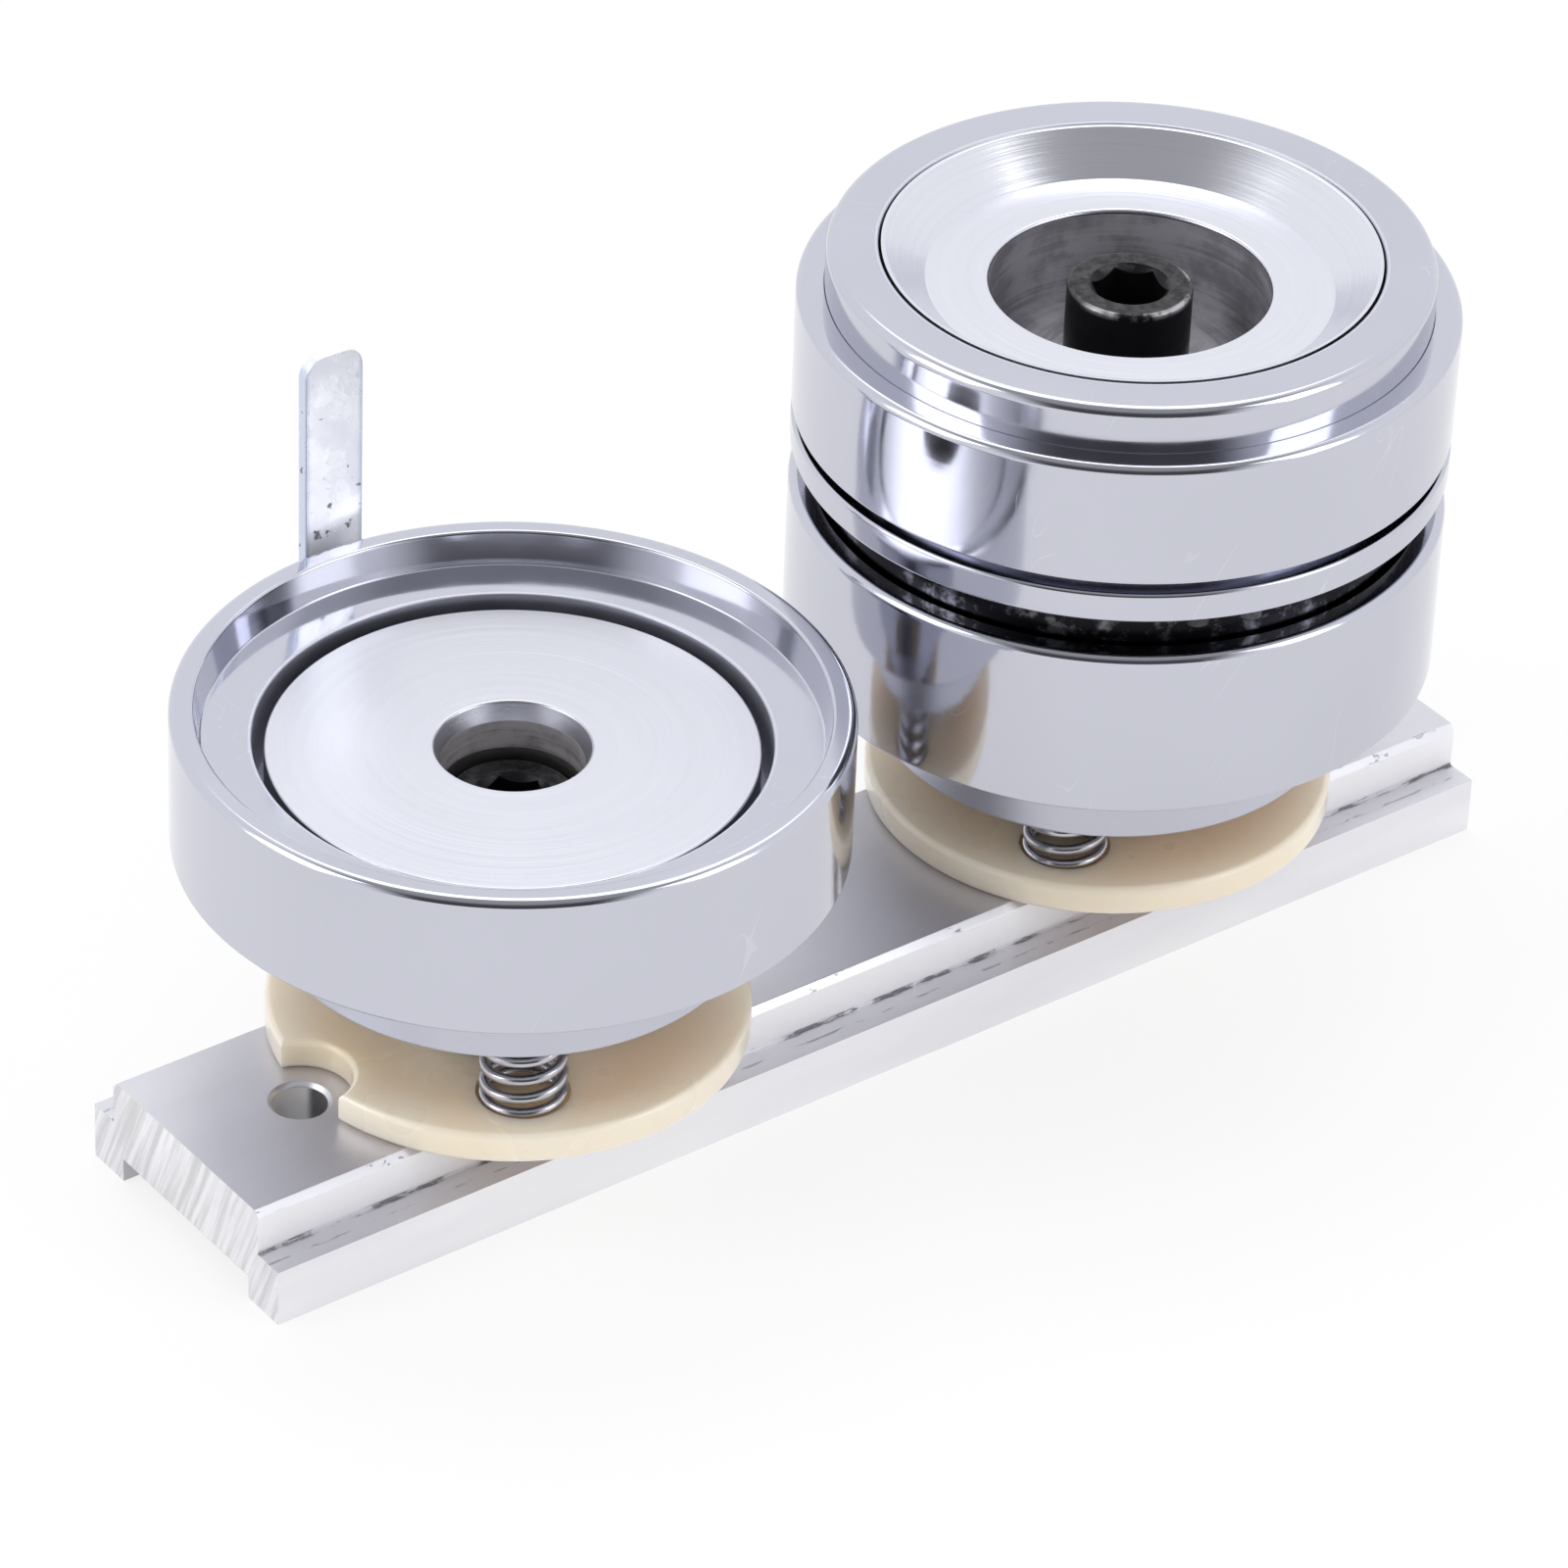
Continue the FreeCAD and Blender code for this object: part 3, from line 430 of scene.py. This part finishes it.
# %% Stem, retaining and spring steel
STEM_STEEL = (0.60, 0.57, 0.57, 1)
PHOSPHATE, RUBBED = (0.02, 0.02, 0.023, 1), (0.22, 0.22, 0.245, 1)
WIRE, WIRE_DULL = (0.62, 0.62, 0.66, 1), (0.42, 0.42, 0.46, 1)

stem_finish = {}
for die in "ab":
    stem_finish[die] = turned(f"stem_steel_{die}", AXIS[die], STEM_STEEL, depth=0.35, spacing=1.1 * MM, gloss=0.36)

dark_ring, shader, place = new_finish("retaining_steel", Metallic=0.85)
grain = place.noise(900, detail=3)
rub = place.noise(160, detail=3).ramp(0.55, 0.7)
tone = (grain * 0.4 + rub * 0.6).mix(PHOSPHATE, RUBBED)
link(shader, Base_Color=tone, Roughness=rub.ramp(0, 1, 0.38, 0.22))

wire_finish, shader, place = new_finish("spring_wire", Metallic=1.0)
draw = place.noise(420, detail=3)
link(shader, Base_Color=draw.mix(WIRE, WIRE_DULL), Roughness=draw.ramp(0.3, 0.7, 0.12, 0.24))
print("springs and rings:", dark_ring.name, wire_finish.name)

# %% [markdown]
# The cap screws are blackened. The coat is thin: it has rubbed through to bright steel along the top edge and in
# scuffs where a key has slipped, so the bare metal is mixed in by a mask of height, radius and noise. Along the
# rim, it is weighted to the front and sides of the head, so there the bright steel is partly a painted highlight.


# %% Black oxide
HEAD_RIM, HEAD_FACE = (6.9, 7.4), (4.9, 5.0)
SOCKET_LIP = (5.2, 4.7)
OXIDE, OXIDE_DULL, OXIDE_BARE_AND_HIGHLIGHT = (0.012, 0.012, 0.014, 1), (0.055, 0.054, 0.058, 1), (0.50, 0.49, 0.51, 1)


def blackened(name, axis, top):
    """Black oxide on a screw head whose top is at the given height."""
    material, shader, place = new_finish(name, Metallic=0.75)
    x, y, z, radius = lathe_place(place, axis)
    worn_patch = place.noise(240, detail=4, roughness=0.65)
    rim = radius.span(*HEAD_RIM) * z.ramp(top - 1.0 * MM, top - 0.3 * MM)
    # Painted highlight: the rim's bare steel is weighted to the front and sides of the head.
    front_highlight = (y / radius * -1.0 + (x / radius).size() * 0.8).ramp(0.75, 1.15)
    lip = radius.span(*SOCKET_LIP) * z.ramp(top - 0.9 * MM, top - 0.1 * MM)
    face = z.ramp(top - 0.3 * MM, top - 0.1 * MM) * radius.span(*HEAD_FACE)
    dulled = place.noise(700, detail=4, roughness=0.7).ramp(0.36, 0.66) * face
    scuffs = hair_scratches(place, (0.0, 0.0, 0.7), (0.003, 0.012, 0.004), 200) * face
    wear_and_highlight = rim * (front_highlight * 0.9 + 0.1) * worn_patch.ramp(0.40, 0.58) + lip * 0.1 * worn_patch.ramp(0.5, 0.6)
    wear_and_highlight = (wear_and_highlight + scuffs * 0.5).math("MINIMUM", 1.0)
    tone = wear_and_highlight.mix(dulled.mix(OXIDE, OXIDE_DULL), OXIDE_BARE_AND_HIGHLIGHT)
    rough = worn_patch.ramp(0.3, 0.7, 0.28, 0.45)
    bump = wear_and_highlight.make("Bump", {}, {"Strength": 0.35, "Distance": 0.2 * MM, "Height": worn_patch})
    link(shader, Base_Color=tone, Roughness=rough, Normal=bump)
    return material


black = {}
for screw, finish, die in (("core_screw_a", "black_oxide_a", "a"), ("core_screw_b", "black_oxide_b", "b"),
                           ("punch_screw", "black_oxide_punch", "b")):
    black[screw] = blackened(finish, AXIS[die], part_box(screw)[1].z)
print("blackened:", sorted(black))

# %% [markdown]
# The base discs are cast nylon: a warm cream that lets a little light in, with a smooth skin and the odd dull
# patch. Towards the hub, under the ring, painted shade turns it a deeper amber. Subsurface scattering gives the soft
# glow at its edges.

# %% Cream nylon
CREAM, CREAM_DULL = (0.93, 0.80, 0.65, 1), (0.90, 0.76, 0.60, 1)
SHADE_AMBER, SPECK = (0.84, 0.665, 0.455, 1), (0.74, 0.62, 0.44, 1)
HUB_SHADE_SPAN = (28.5, 22.0)

nylon, shader, place = new_finish(
    "nylon", Subsurface_Weight=0.6, Subsurface_Scale=0.006, Subsurface_Radius=(1.0, 0.75, 0.5), IOR=1.53,
    Coat_Roughness=0.12,
)
cloud = place.noise(60, detail=2)
speck = place.noise(700, detail=2)
x, y, z = place.split()
# Painted shade: towards the hub, under the ring, the cream turns amber.
hub_shade = (x.size() - AXIS["b"]).reach(y).span(*HUB_SHADE_SPAN) * 0.75
tone = cloud.ramp(0.3, 0.7).mix(CREAM, CREAM_DULL)
tone = hub_shade.mix(tone, SHADE_AMBER)
tone = speck.ramp(0.68, 0.74, 0.0, 0.2).mix(tone, SPECK)
skin = speck.make("Bump", {}, {"Strength": 0.12, "Distance": 0.4 * MM, "Height": cloud + speck * 0.25})
link(shader, Base_Color=tone, Roughness=cloud.ramp(0.3, 0.7, 0.26, 0.34), Coat_Weight=cloud.ramp(0.3, 0.7, 0.75, 0.6),
     Normal=skin)
print("nylon:", nylon.name)

# %% [markdown]
# The rail is drawn aluminium. The die leaves fine lines along its length, its top is duller, its long edges carry
# dark dents from handling, and its sawn ends show the slanted marks of the blade. Its upper side gets painted light,
# and its stop hole and the channel underneath get painted shade. Masks from the normal tell the finish which side it
# is on, and masks from the place find the creases and corners of its section.

# %% Drawn aluminium
SAW = Vector((0, -0.38, 0.92))
SAW_MARKS = 0.9 * MM
STOP_HOLE = 74.4 * MM
DRAWN, DRAWN_DULL, TOP_DULL = (0.90, 0.90, 0.925, 1), (0.80, 0.795, 0.83, 1), (0.58, 0.575, 0.625, 1)
SAWN_DARK, DENT, HOLE_SHADE = (0.55, 0.54, 0.55, 1), (0.16, 0.155, 0.17, 1), (0.13, 0.12, 0.125, 1)
SIDE_PAINTED_LIGHT, BEVEL_GREY, CHANNEL_SHADE = (0.98, 0.975, 0.99, 1), (0.52, 0.52, 0.56, 1), (0.10, 0.10, 0.11, 1)

aluminium, shader, place = new_finish("rail_aluminium")
x, y, z = place.split()
facing = x.facing()
nx, ny, nz = facing.split()
on_end = nx.size().ramp(0.7, 0.9)
on_top = nz.ramp(0.7, 0.9)
lines = (x * 12).join(y * 2600, z * 2600).noise(1.0, detail=4, roughness=0.65) - 0.5
across = x.make("CombineXYZ", {}, {0: 1.0}).vector("CROSS_PRODUCT", facing)
blade = (z * SAW[1] - y * SAW[2]) + (place.noise(70) - 0.5) * SAW_MARKS
sawn = (blade / SAW_MARKS).join(x * 20, z * 45).noise(1.0, detail=4, roughness=0.6) - 0.5
tilt = across.scaled(lines * (1 - on_end) * 0.10)
tilt = tilt.vector("ADD", x.make("CombineXYZ", {}, {1: -SAW[2], 2: SAW[1]}).scaled(sawn * on_end * 0.4))
bent = facing.vector("ADD", tilt).vector("NORMALIZE")
out = y.size()
crease = out.span(15.2, 15.4) * out.span(16.0, 15.6) * z.span(8.1, 7.8)
ledge_line = out.span(17.4, 17.6) * out.span(17.9, 17.7) * z.span(7.4, 7.5)
brow = out.span(14.3, 14.8) * z.span(12.4, 12.9)
# Painted shade inside the channel underneath.
shaded_channel = z.span(3.35, 3.15) * out.span(13.5, 13.3)
streak = (x * 260).join(y * 1200, z * 1200).noise(1.0, detail=4, roughness=0.7).ramp(0.50, 0.58)
pits = (x * 330).join(y * 700, z * 700).noise(1.0, detail=3, roughness=0.7).ramp(0.62, 0.67)
knocks = streak * (crease * 0.75 + ledge_line * 0.5) + pits * brow * 0.5
knocks = knocks * z.span(5.0, 6.5) * (1 - on_end)
# Painted light: the upper side is painted paler and made less metallic.
lit_upper_side = z.span(7.8, 8.4) * (1 - nz.ramp(0.3, 0.5)) * (1 - on_end)
bevel_face = nz.ramp(0.45, 0.6) * nz.ramp(0.9, 0.8)
# Painted shade inside the stop hole.
shaded_hole = (x.size() - STOP_HOLE).reach(y).span(3.35, 3.25)
stain = (x * 9).join(y * 50, z * 50).noise(1.0, detail=4, roughness=0.6)
dents = x.make("Bump", {"invert": True}, {"Strength": 0.6, "Distance": 0.4 * MM, "Height": knocks, "Normal": bent})
tone = stain.ramp(0.3, 0.7).mix(DRAWN, DRAWN_DULL)
for mask, colour in ((on_top * 0.75, TOP_DULL), (on_end * sawn.ramp(-0.16, 0.14, 0.7, 0.0), SAWN_DARK),
                     (knocks * 0.9, DENT), (shaded_hole * 0.85, HOLE_SHADE), (lit_upper_side * 0.8, SIDE_PAINTED_LIGHT),
                     (bevel_face * 0.5, BEVEL_GREY), (shaded_channel * 0.85, CHANNEL_SHADE)):
    tone = mask.mix(tone, colour)
rough = stain.ramp(0.3, 0.7, 0.30, 0.44) + on_top * 0.06 + on_end * 0.08 + knocks * 0.2 + lit_upper_side * 0.2
link(shader, Base_Color=tone, Roughness=rough, Metallic=0.72 - lit_upper_side * 0.35, Normal=dents)
print("aluminium:", aluminium.name)

# %% [markdown]
# The strip is zinc plated: bright, cloudy and slightly blue at its edges, with dull scuffs and a few dark specks on
# the face that a thumb pushes.

# %% Zinc plate
STRIP_MIDDLE = middle_x("handle_strip")
ZINC, ZINC_CLOUD, ZINC_EDGE = (0.94, 0.945, 0.955, 1), (0.84, 0.86, 0.90, 1), (0.52, 0.58, 0.72, 1)
ZINC_SCUFF, ZINC_SPECK = (0.55, 0.55, 0.60, 1), (0.10, 0.10, 0.12, 1)

zinc, shader, place = new_finish("zinc_strip", Metallic=0.5)
x, y, z = place.split()
cloud = place.noise(120, detail=4, roughness=0.65)
scuff = hair_scratches(place, (0.0, 0.5, 0.0), (0.0013, 0.002, 0.012), 120)
specks = place.noise(420, detail=3, roughness=0.6).ramp(0.64, 0.69) * z.span(54, 60) * z.span(82, 76)
side_edge = (x - STRIP_MIDDLE).size().span(3.2, 4.0)
tone = cloud.ramp(0.3, 0.7).mix(ZINC, ZINC_CLOUD)
for mask, colour in ((side_edge * 0.8, ZINC_EDGE), (scuff * 0.3, ZINC_SCUFF), (specks * 0.9, ZINC_SPECK)):
    tone = mask.mix(tone, colour)
bump = cloud.make("Bump", {}, {"Strength": 0.3, "Distance": 0.3 * MM, "Height": cloud})
link(shader, Base_Color=tone, Roughness=cloud.ramp(0.3, 0.7, 0.2, 0.36) + scuff * 0.1, Normal=bump)
print("zinc:", zinc.name)

# %% [markdown]
# ## Pieces
# A finished piece gets its name, its finish and its body in one place. Edges sharper than a set
# angle stay sharp, and weighted normals keep the broad faces true beside a rounded edge.


# %% Finish a piece
SHARP = math.radians(32)
FACE_WEIGHT = 80


def set_piece(bm, name, finish, body, replaced):
    """Turns a bmesh into a piece that stands for CAD nodes; without a body it stays unattached."""
    bmesh.ops.recalc_face_normals(bm, faces=bm.faces)
    for face in bm.faces:
        face.smooth = True
    for edge in bm.edges:
        edge.smooth = not (edge.is_manifold and edge.calc_face_angle() > SHARP)
    mesh = bpy.data.meshes.new(name)
    bm.to_mesh(mesh)
    bm.free()
    mesh.materials.append(finish)
    piece = bpy.data.objects.new(name, mesh)
    bpy.context.scene.collection.objects.link(piece)
    weighting = piece.modifiers.new("true_faces", "WEIGHTED_NORMAL")
    weighting.keep_sharp = True
    weighting.weight = FACE_WEIGHT
    if body:
        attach(piece, body)
    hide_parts(*replaced)
    print(f"{name}: {len(mesh.polygons)} faces for {', '.join(replaced)}")
    return piece


# %% [markdown]
# The rings, plates and sleeves are turned, so each one is drawn as half a section and spun round its die's axis. A
# spin keeps clean bands of faces, which mirror-like steel needs: any dent in the mesh would bend its reflections.
# Each rim is then bevelled by the width that its corner has been broken.


# %% Spin a section
SPIN_STEPS = 240
NEAR = 2e-6
WIDE_BREAK = 0.6


def rim_edges(bm, centre, radius, height):
    """The level edges at one radius and height."""
    found = []
    for edge in bm.edges:
        if all(abs(vert.co.z - height) < NEAR and abs((vert.co - centre).xy.length - radius) < NEAR
               for vert in edge.verts):
            found.append(edge)
    return found


def spin_section(axis, section, breaks):
    """A bmesh of the section, in millimetres, spun about an upright axis, with its rims rounded."""
    bm = bmesh.new()
    centre = Vector((axis, 0, 0))
    verts = [bm.verts.new((axis + radius * MM, 0, height * MM)) for radius, height in section]
    edges = [bm.edges.new((verts[number - 1], vert)) for number, vert in enumerate(verts)]
    bmesh.ops.spin(bm, geom=verts + edges, cent=centre, axis=(0, 0, 1), dvec=(0, 0, 0), angle=2 * math.pi,
                   steps=SPIN_STEPS, use_merge=True, use_duplicate=False)
    bmesh.ops.remove_doubles(bm, verts=bm.verts, dist=NEAR / 10)
    for (radius, height), width in breaks.items():
        rim = rim_edges(bm, centre, radius * MM, height * MM)
        bmesh.ops.bevel(bm, geom=rim, offset=width * MM, offset_type="OFFSET", affect="EDGES",
                        segments=6 if width > WIDE_BREAK else 3, profile=0.5, material=-1)
    return bm


# %% [markdown]
# The floating rings of the lower dies: a broad polished wall, a thin rim that is rounded outside, a seat for the
# cut circles just inside it, and a narrower hub below that slides on the stem. The hub's underside has a round
# pocket for each spring, cut here with a Boolean that is applied at once.


# %% Floating rings
FIRST_SPRING = {"a": 240, "b": 220}
SPRING_COUNT = 3
SPRING_CIRCLE = 20 * MM


def spring_places(die):
    """Centres of a die's springs, from the first spring's turn in the plan."""
    places = []
    for number in range(SPRING_COUNT):
        turn = math.radians(FIRST_SPRING[die] + 360 * number / SPRING_COUNT)
        places.append(Vector((AXIS[die] + SPRING_CIRCLE * math.cos(turn), SPRING_CIRCLE * math.sin(turn), 0)))
    return places


def drills(places, radius, low, high):
    """A bmesh of upright round tools between two heights."""
    tools = bmesh.new()
    for place in places:
        bmesh.ops.create_cone(tools, cap_ends=True, segments=64, radius1=radius, radius2=radius, depth=high - low,
                              matrix=Matrix.Translation(place + Vector((0, 0, (low + high) / 2))))
    return tools


def cut(bm, name, tools):
    """The bmesh with the tools' volume cut out of it."""
    for solid in (bm, tools):
        bmesh.ops.recalc_face_normals(solid, faces=solid.faces)
    stock, tool = bpy.data.meshes.new(name + "_stock"), bpy.data.meshes.new(name + "_tools")
    bm.to_mesh(stock)
    tools.to_mesh(tool)
    bm.free()
    tools.free()
    blank, cutter = bpy.data.objects.new(name + "_blank", stock), bpy.data.objects.new(name + "_cutter", tool)
    for item in (blank, cutter):
        bpy.context.scene.collection.objects.link(item)
    cut_out = blank.modifiers.new("pockets", "BOOLEAN")
    cut_out.object = cutter
    cut_out.operation = "DIFFERENCE"
    cut_out.solver = "EXACT"
    result = bpy.data.meshes.new_from_object(blank.evaluated_get(bpy.context.evaluated_depsgraph_get()))
    finished = bmesh.new()
    finished.from_mesh(result)
    for item in (blank, cutter):
        bpy.data.objects.remove(item)
    for mesh in (stock, tool, result):
        bpy.data.meshes.remove(mesh)
    return finished


RIM_A = [(14.07, 28.4), (28.5, 28.4), (28.5, 40.2), (40, 40.2), (40, 58.5), (37.1, 58.5), (36.3, 54.3),
         (30.4, 53.9), (30.4, 44.6), (14.07, 44.6)]
BREAKS_A = {(40, 58.5): 1.1, (40, 40.2): 0.5, (28.5, 28.4): 0.5, (37.1, 58.5): 0.35, (36.3, 54.3): 0.2,
            (30.4, 53.9): 0.22}
RIM_B = [(14.07, 24.8), (28.5, 24.8), (28.5, 36.5), (40, 36.5), (40, 58.5), (37.1, 58.5), (37.1, 54.3),
         (30.75, 54.3), (30.75, 44.6), (14.07, 44.6)]
BREAKS_B = {(40, 58.5): 1.1, (40, 36.5): 0.5, (28.5, 24.8): 0.5, (37.1, 58.5): 0.2, (30.75, 54.3): 0.15}
POCKET_RADIUS, POCKET_DEPTH, DISC_POCKET_DEPTH = 5.6 * MM, 4.8 * MM, 1.6 * MM

for die, section, breaks in (("a", RIM_A, BREAKS_A), ("b", RIM_B, BREAKS_B)):
    hub_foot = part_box(f"float_ring_{die}")[0].z
    ring = spin_section(AXIS[die], section, breaks)
    ring = cut(ring, f"ring_{die}", drills(spring_places(die), POCKET_RADIUS, hub_foot - MM, hub_foot + POCKET_DEPTH))
    set_piece(ring, f"polished_ring_{die}", polish[die], f"ring_{die}", [f"float_ring_{die}"])

# %% [markdown]
# The nylon discs under the dies are turned blanks with well rounded rims, cut round the rail's stop hole and for the
# springs, and the first one has a slot underneath for the strip. The tool that cuts the notch flares at both ends, so
# that it leaves rounded edges too.


# %% Nylon discs
DISC = [(9.1, 13.6), (29, 13.6), (29, 17.6), (9.1, 17.6)]
ROUND = 0.8
NOTCH_TOOL = [(0, 12.6), (8.2, 12.6), (8.2, 13.59), (6.2, 13.59), (6.2, 17.61), (8.2, 17.61), (8.2, 18.6), (0, 18.6)]
SLOT, SLOT_START = Vector((8.5, 24.0, 3.5)) * MM, 9.75 * MM

for die, side in (("a", -1), ("b", 1)):
    low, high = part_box(f"base_disc_{die}")
    disc = spin_section(AXIS[die], DISC, {(29, 13.6): ROUND, (29, 17.6): ROUND})
    notch = spin_section(side * STOP_HOLE, NOTCH_TOOL, {(6.2, 13.59): ROUND, (6.2, 17.61): ROUND})
    disc = cut(disc, f"notch_{die}", notch)
    disc = cut(disc, f"seats_{die}", drills(spring_places(die), POCKET_RADIUS, high.z - DISC_POCKET_DEPTH, high.z + MM))
    if die == "a":
        slot = bmesh.new()
        middle = Vector((STRIP_MIDDLE, SLOT_START + SLOT.y / 2, low.z))
        bmesh.ops.create_cube(slot, size=1, matrix=Matrix.Translation(middle) @ Matrix.Diagonal(SLOT).to_4x4())
        disc = cut(disc, "strip_slot", slot)
    set_piece(disc, f"nylon_disc_{die}", nylon, "base", [f"base_disc_{die}"])

# %% [markdown]
# The pressing plate fills the badge, so its face is flat and its bore has a bright conical lead-in. Only the first
# die shows its plate. The second plate is under the upper die and keeps its engineering mesh.

# %% Pressing plate
PLATE = [(11.57, 44.7), (29, 44.7), (29, 52.7), (9.3, 52.7), (8.5, 50.5), (8.45, 50.3), (8.45, 46.7), (11.57, 46.7)]
plate = spin_section(AXIS["a"], PLATE, {(9.3, 52.7): 0.25, (29, 52.7): 0.3, (29, 44.7): 0.3})
set_piece(plate, "pressing_plate_a", turned_a, "base", ["core_plate_a"])

# %% [markdown]
# The upper die is a carrier with a polished sleeve shrunk on it and a loose band below, and a dished cup slides in
# its bore. The thin dark lines between them are real gaps, so every piece is spun on its own.

# %% Upper die
CARRIER = [(33, 54.3), (36.6, 54.3), (36.6, 62.25), (35.6, 62.25), (35.6, 63.5), (36.6, 63.5), (36.6, 90.6),
           (30.35, 90.6), (30.35, 80), (33, 80), (33, 58.6), (33.85, 58.6), (33.85, 57.15), (33, 57.15)]
SLEEVE = [(36.62, 68.7), (40, 68.7), (40, 84.8), (36.62, 84.8)]
BAND = [(36.68, 63.5), (40, 63.5), (40, 67.4), (36.68, 67.4)]
CUP = [(5.4, 69.4), (29.5, 69.4), (29.5, 76), (32.92, 76), (32.92, 80), (30.05, 80), (30.05, 90.6), (29.6, 90.6),
       (24.6, 86.1), (17, 86.1), (17, 75.1), (5.4, 75.1)]

carrier = spin_section(AXIS["b"], CARRIER, {(36.6, 90.6): 1.25, (30.35, 90.6): 0.3})
set_piece(carrier, "carrier", carrier_finish, "upper_die", ["upper_carrier"])
sleeve = spin_section(AXIS["b"], SLEEVE, {(40, 84.8): 1.1, (40, 68.7): 0.5, (36.62, 84.8): 0.12})
set_piece(sleeve, "sleeve", polish["b"], "upper_die", ["outer_sleeve"])
band = spin_section(AXIS["b"], BAND, {(40, 67.4): 0.5, (40, 63.5): 0.5})
set_piece(band, "loose_band", polish["b"], "band", ["end_band"])
cup = spin_section(AXIS["b"], CUP, {(17, 86.1): 0.45, (29.6, 90.6): 0.12})
set_piece(cup, "dished_cup", cup_finish, "punch", ["ram_cup"])

# %% [markdown]
# The springs are wound from round wire: a small circle is spun round each spring's own axis while it climbs, with
# a closed turn at each end and open turns between. Each die's three springs are one piece, attached to no body.


# %% Wind the springs
WIRE_SIDES, STEPS_PER_TURN = 14, 36


def wind(name, node, places, wire, radius, pitch):
    """Springs of round wire in place of a CAD node."""
    low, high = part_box(node)
    bm = bmesh.new()
    upright = Matrix.Rotation(math.radians(90), 4, "X")
    closed = 2.06 * wire
    open_rise = high.z - low.z - 2 * wire - 2 * closed
    for place in places:
        start = Matrix.Translation(place + Vector((radius, 0, low.z + wire))) @ upright
        section = bmesh.ops.create_circle(bm, cap_ends=False, radius=wire, segments=WIRE_SIDES, matrix=start)["verts"]
        loop = section + list({edge for vert in section for edge in vert.link_edges})
        for turns, climb in ((1, closed), (open_rise / pitch, pitch), (1, closed)):
            steps = round(turns * STEPS_PER_TURN)
            spun = bmesh.ops.spin(bm, geom=loop, cent=place, axis=(0, 0, 1), angle=2 * math.pi * turns, steps=steps,
                                  dvec=(0, 0, climb * turns / steps), use_merge=False, use_duplicate=False)
            loop = spun["geom_last"]
    bmesh.ops.holes_fill(bm, edges=[edge for edge in bm.edges if edge.is_boundary], sides=0)
    springs = set_piece(bm, name, wire_finish, None, [node])
    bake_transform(springs)


for die in "ab":
    wind(f"coil_springs_{die}", f"springs_{die}", spring_places(die), wire=0.65 * MM, radius=4.65 * MM,
         pitch=2.6 * MM)
wind("return_spring", "punch_spring", [Vector((AXIS["b"], 0, 0))], wire=1.2 * MM, radius=31.3 * MM,
     pitch=5.4 * MM)

# %% [markdown]
# The rail, strip and screws have holes, bends and hexagons that the engineering model already has right, but its
# edges are razor sharp. A merged copy of each gets its flat faces joined and its sharp edges broken, so they catch
# the light as handled metal does.


# %% Break the edges of the other pieces
BROKEN, FLAT = math.radians(40), math.radians(0.4)


def soften(name, node, finish, body, width):
    """A merged copy of a CAD node with its flat faces joined and its sharp edges bevelled."""
    bm = bmesh.new()
    bm.from_mesh(nodes[node].data)
    bmesh.ops.remove_doubles(bm, verts=bm.verts, dist=NEAR)
    bmesh.ops.dissolve_limit(bm, angle_limit=FLAT, verts=bm.verts, edges=bm.edges)
    sharp = [edge for edge in bm.edges if edge.is_manifold and edge.calc_face_angle() > BROKEN]
    bmesh.ops.bevel(bm, geom=sharp, offset=width, offset_type="OFFSET", affect="EDGES", segments=2, profile=0.5,
                    material=-1, clamp_overlap=True)
    set_piece(bm, name, finish, body, [node])


soften("drawn_rail", "slide_rail", aluminium, "base", 0.22 * MM)
soften("plated_strip", "handle_strip", zinc, "base", 0.25 * MM)
soften("cap_screw_a", "core_screw_a", black["core_screw_a"], "base", 0.18 * MM)
soften("cap_screw_punch", "punch_screw", black["punch_screw"], "punch", 0.18 * MM)

# %% [markdown]
# The pieces that stay as the engineering model has them only change their finish.

# %% Finish the carried-over pieces
CARRIED = {
    "stem_a": stem_finish["a"],
    "stem_b": stem_finish["b"],
    "core_plate_b": turned_b,
    "punch_plate": turned_b,
    "core_screw_b": black["core_screw_b"],
    "handle_screw": zinc,
    "snap_ring": dark_ring,
    "inner_circlip": dark_ring,
}
for name, finish in CARRIED.items():
    for material_slot in nodes[name].material_slots:
        material_slot.material = finish
print("carried over:", sorted(CARRIED))
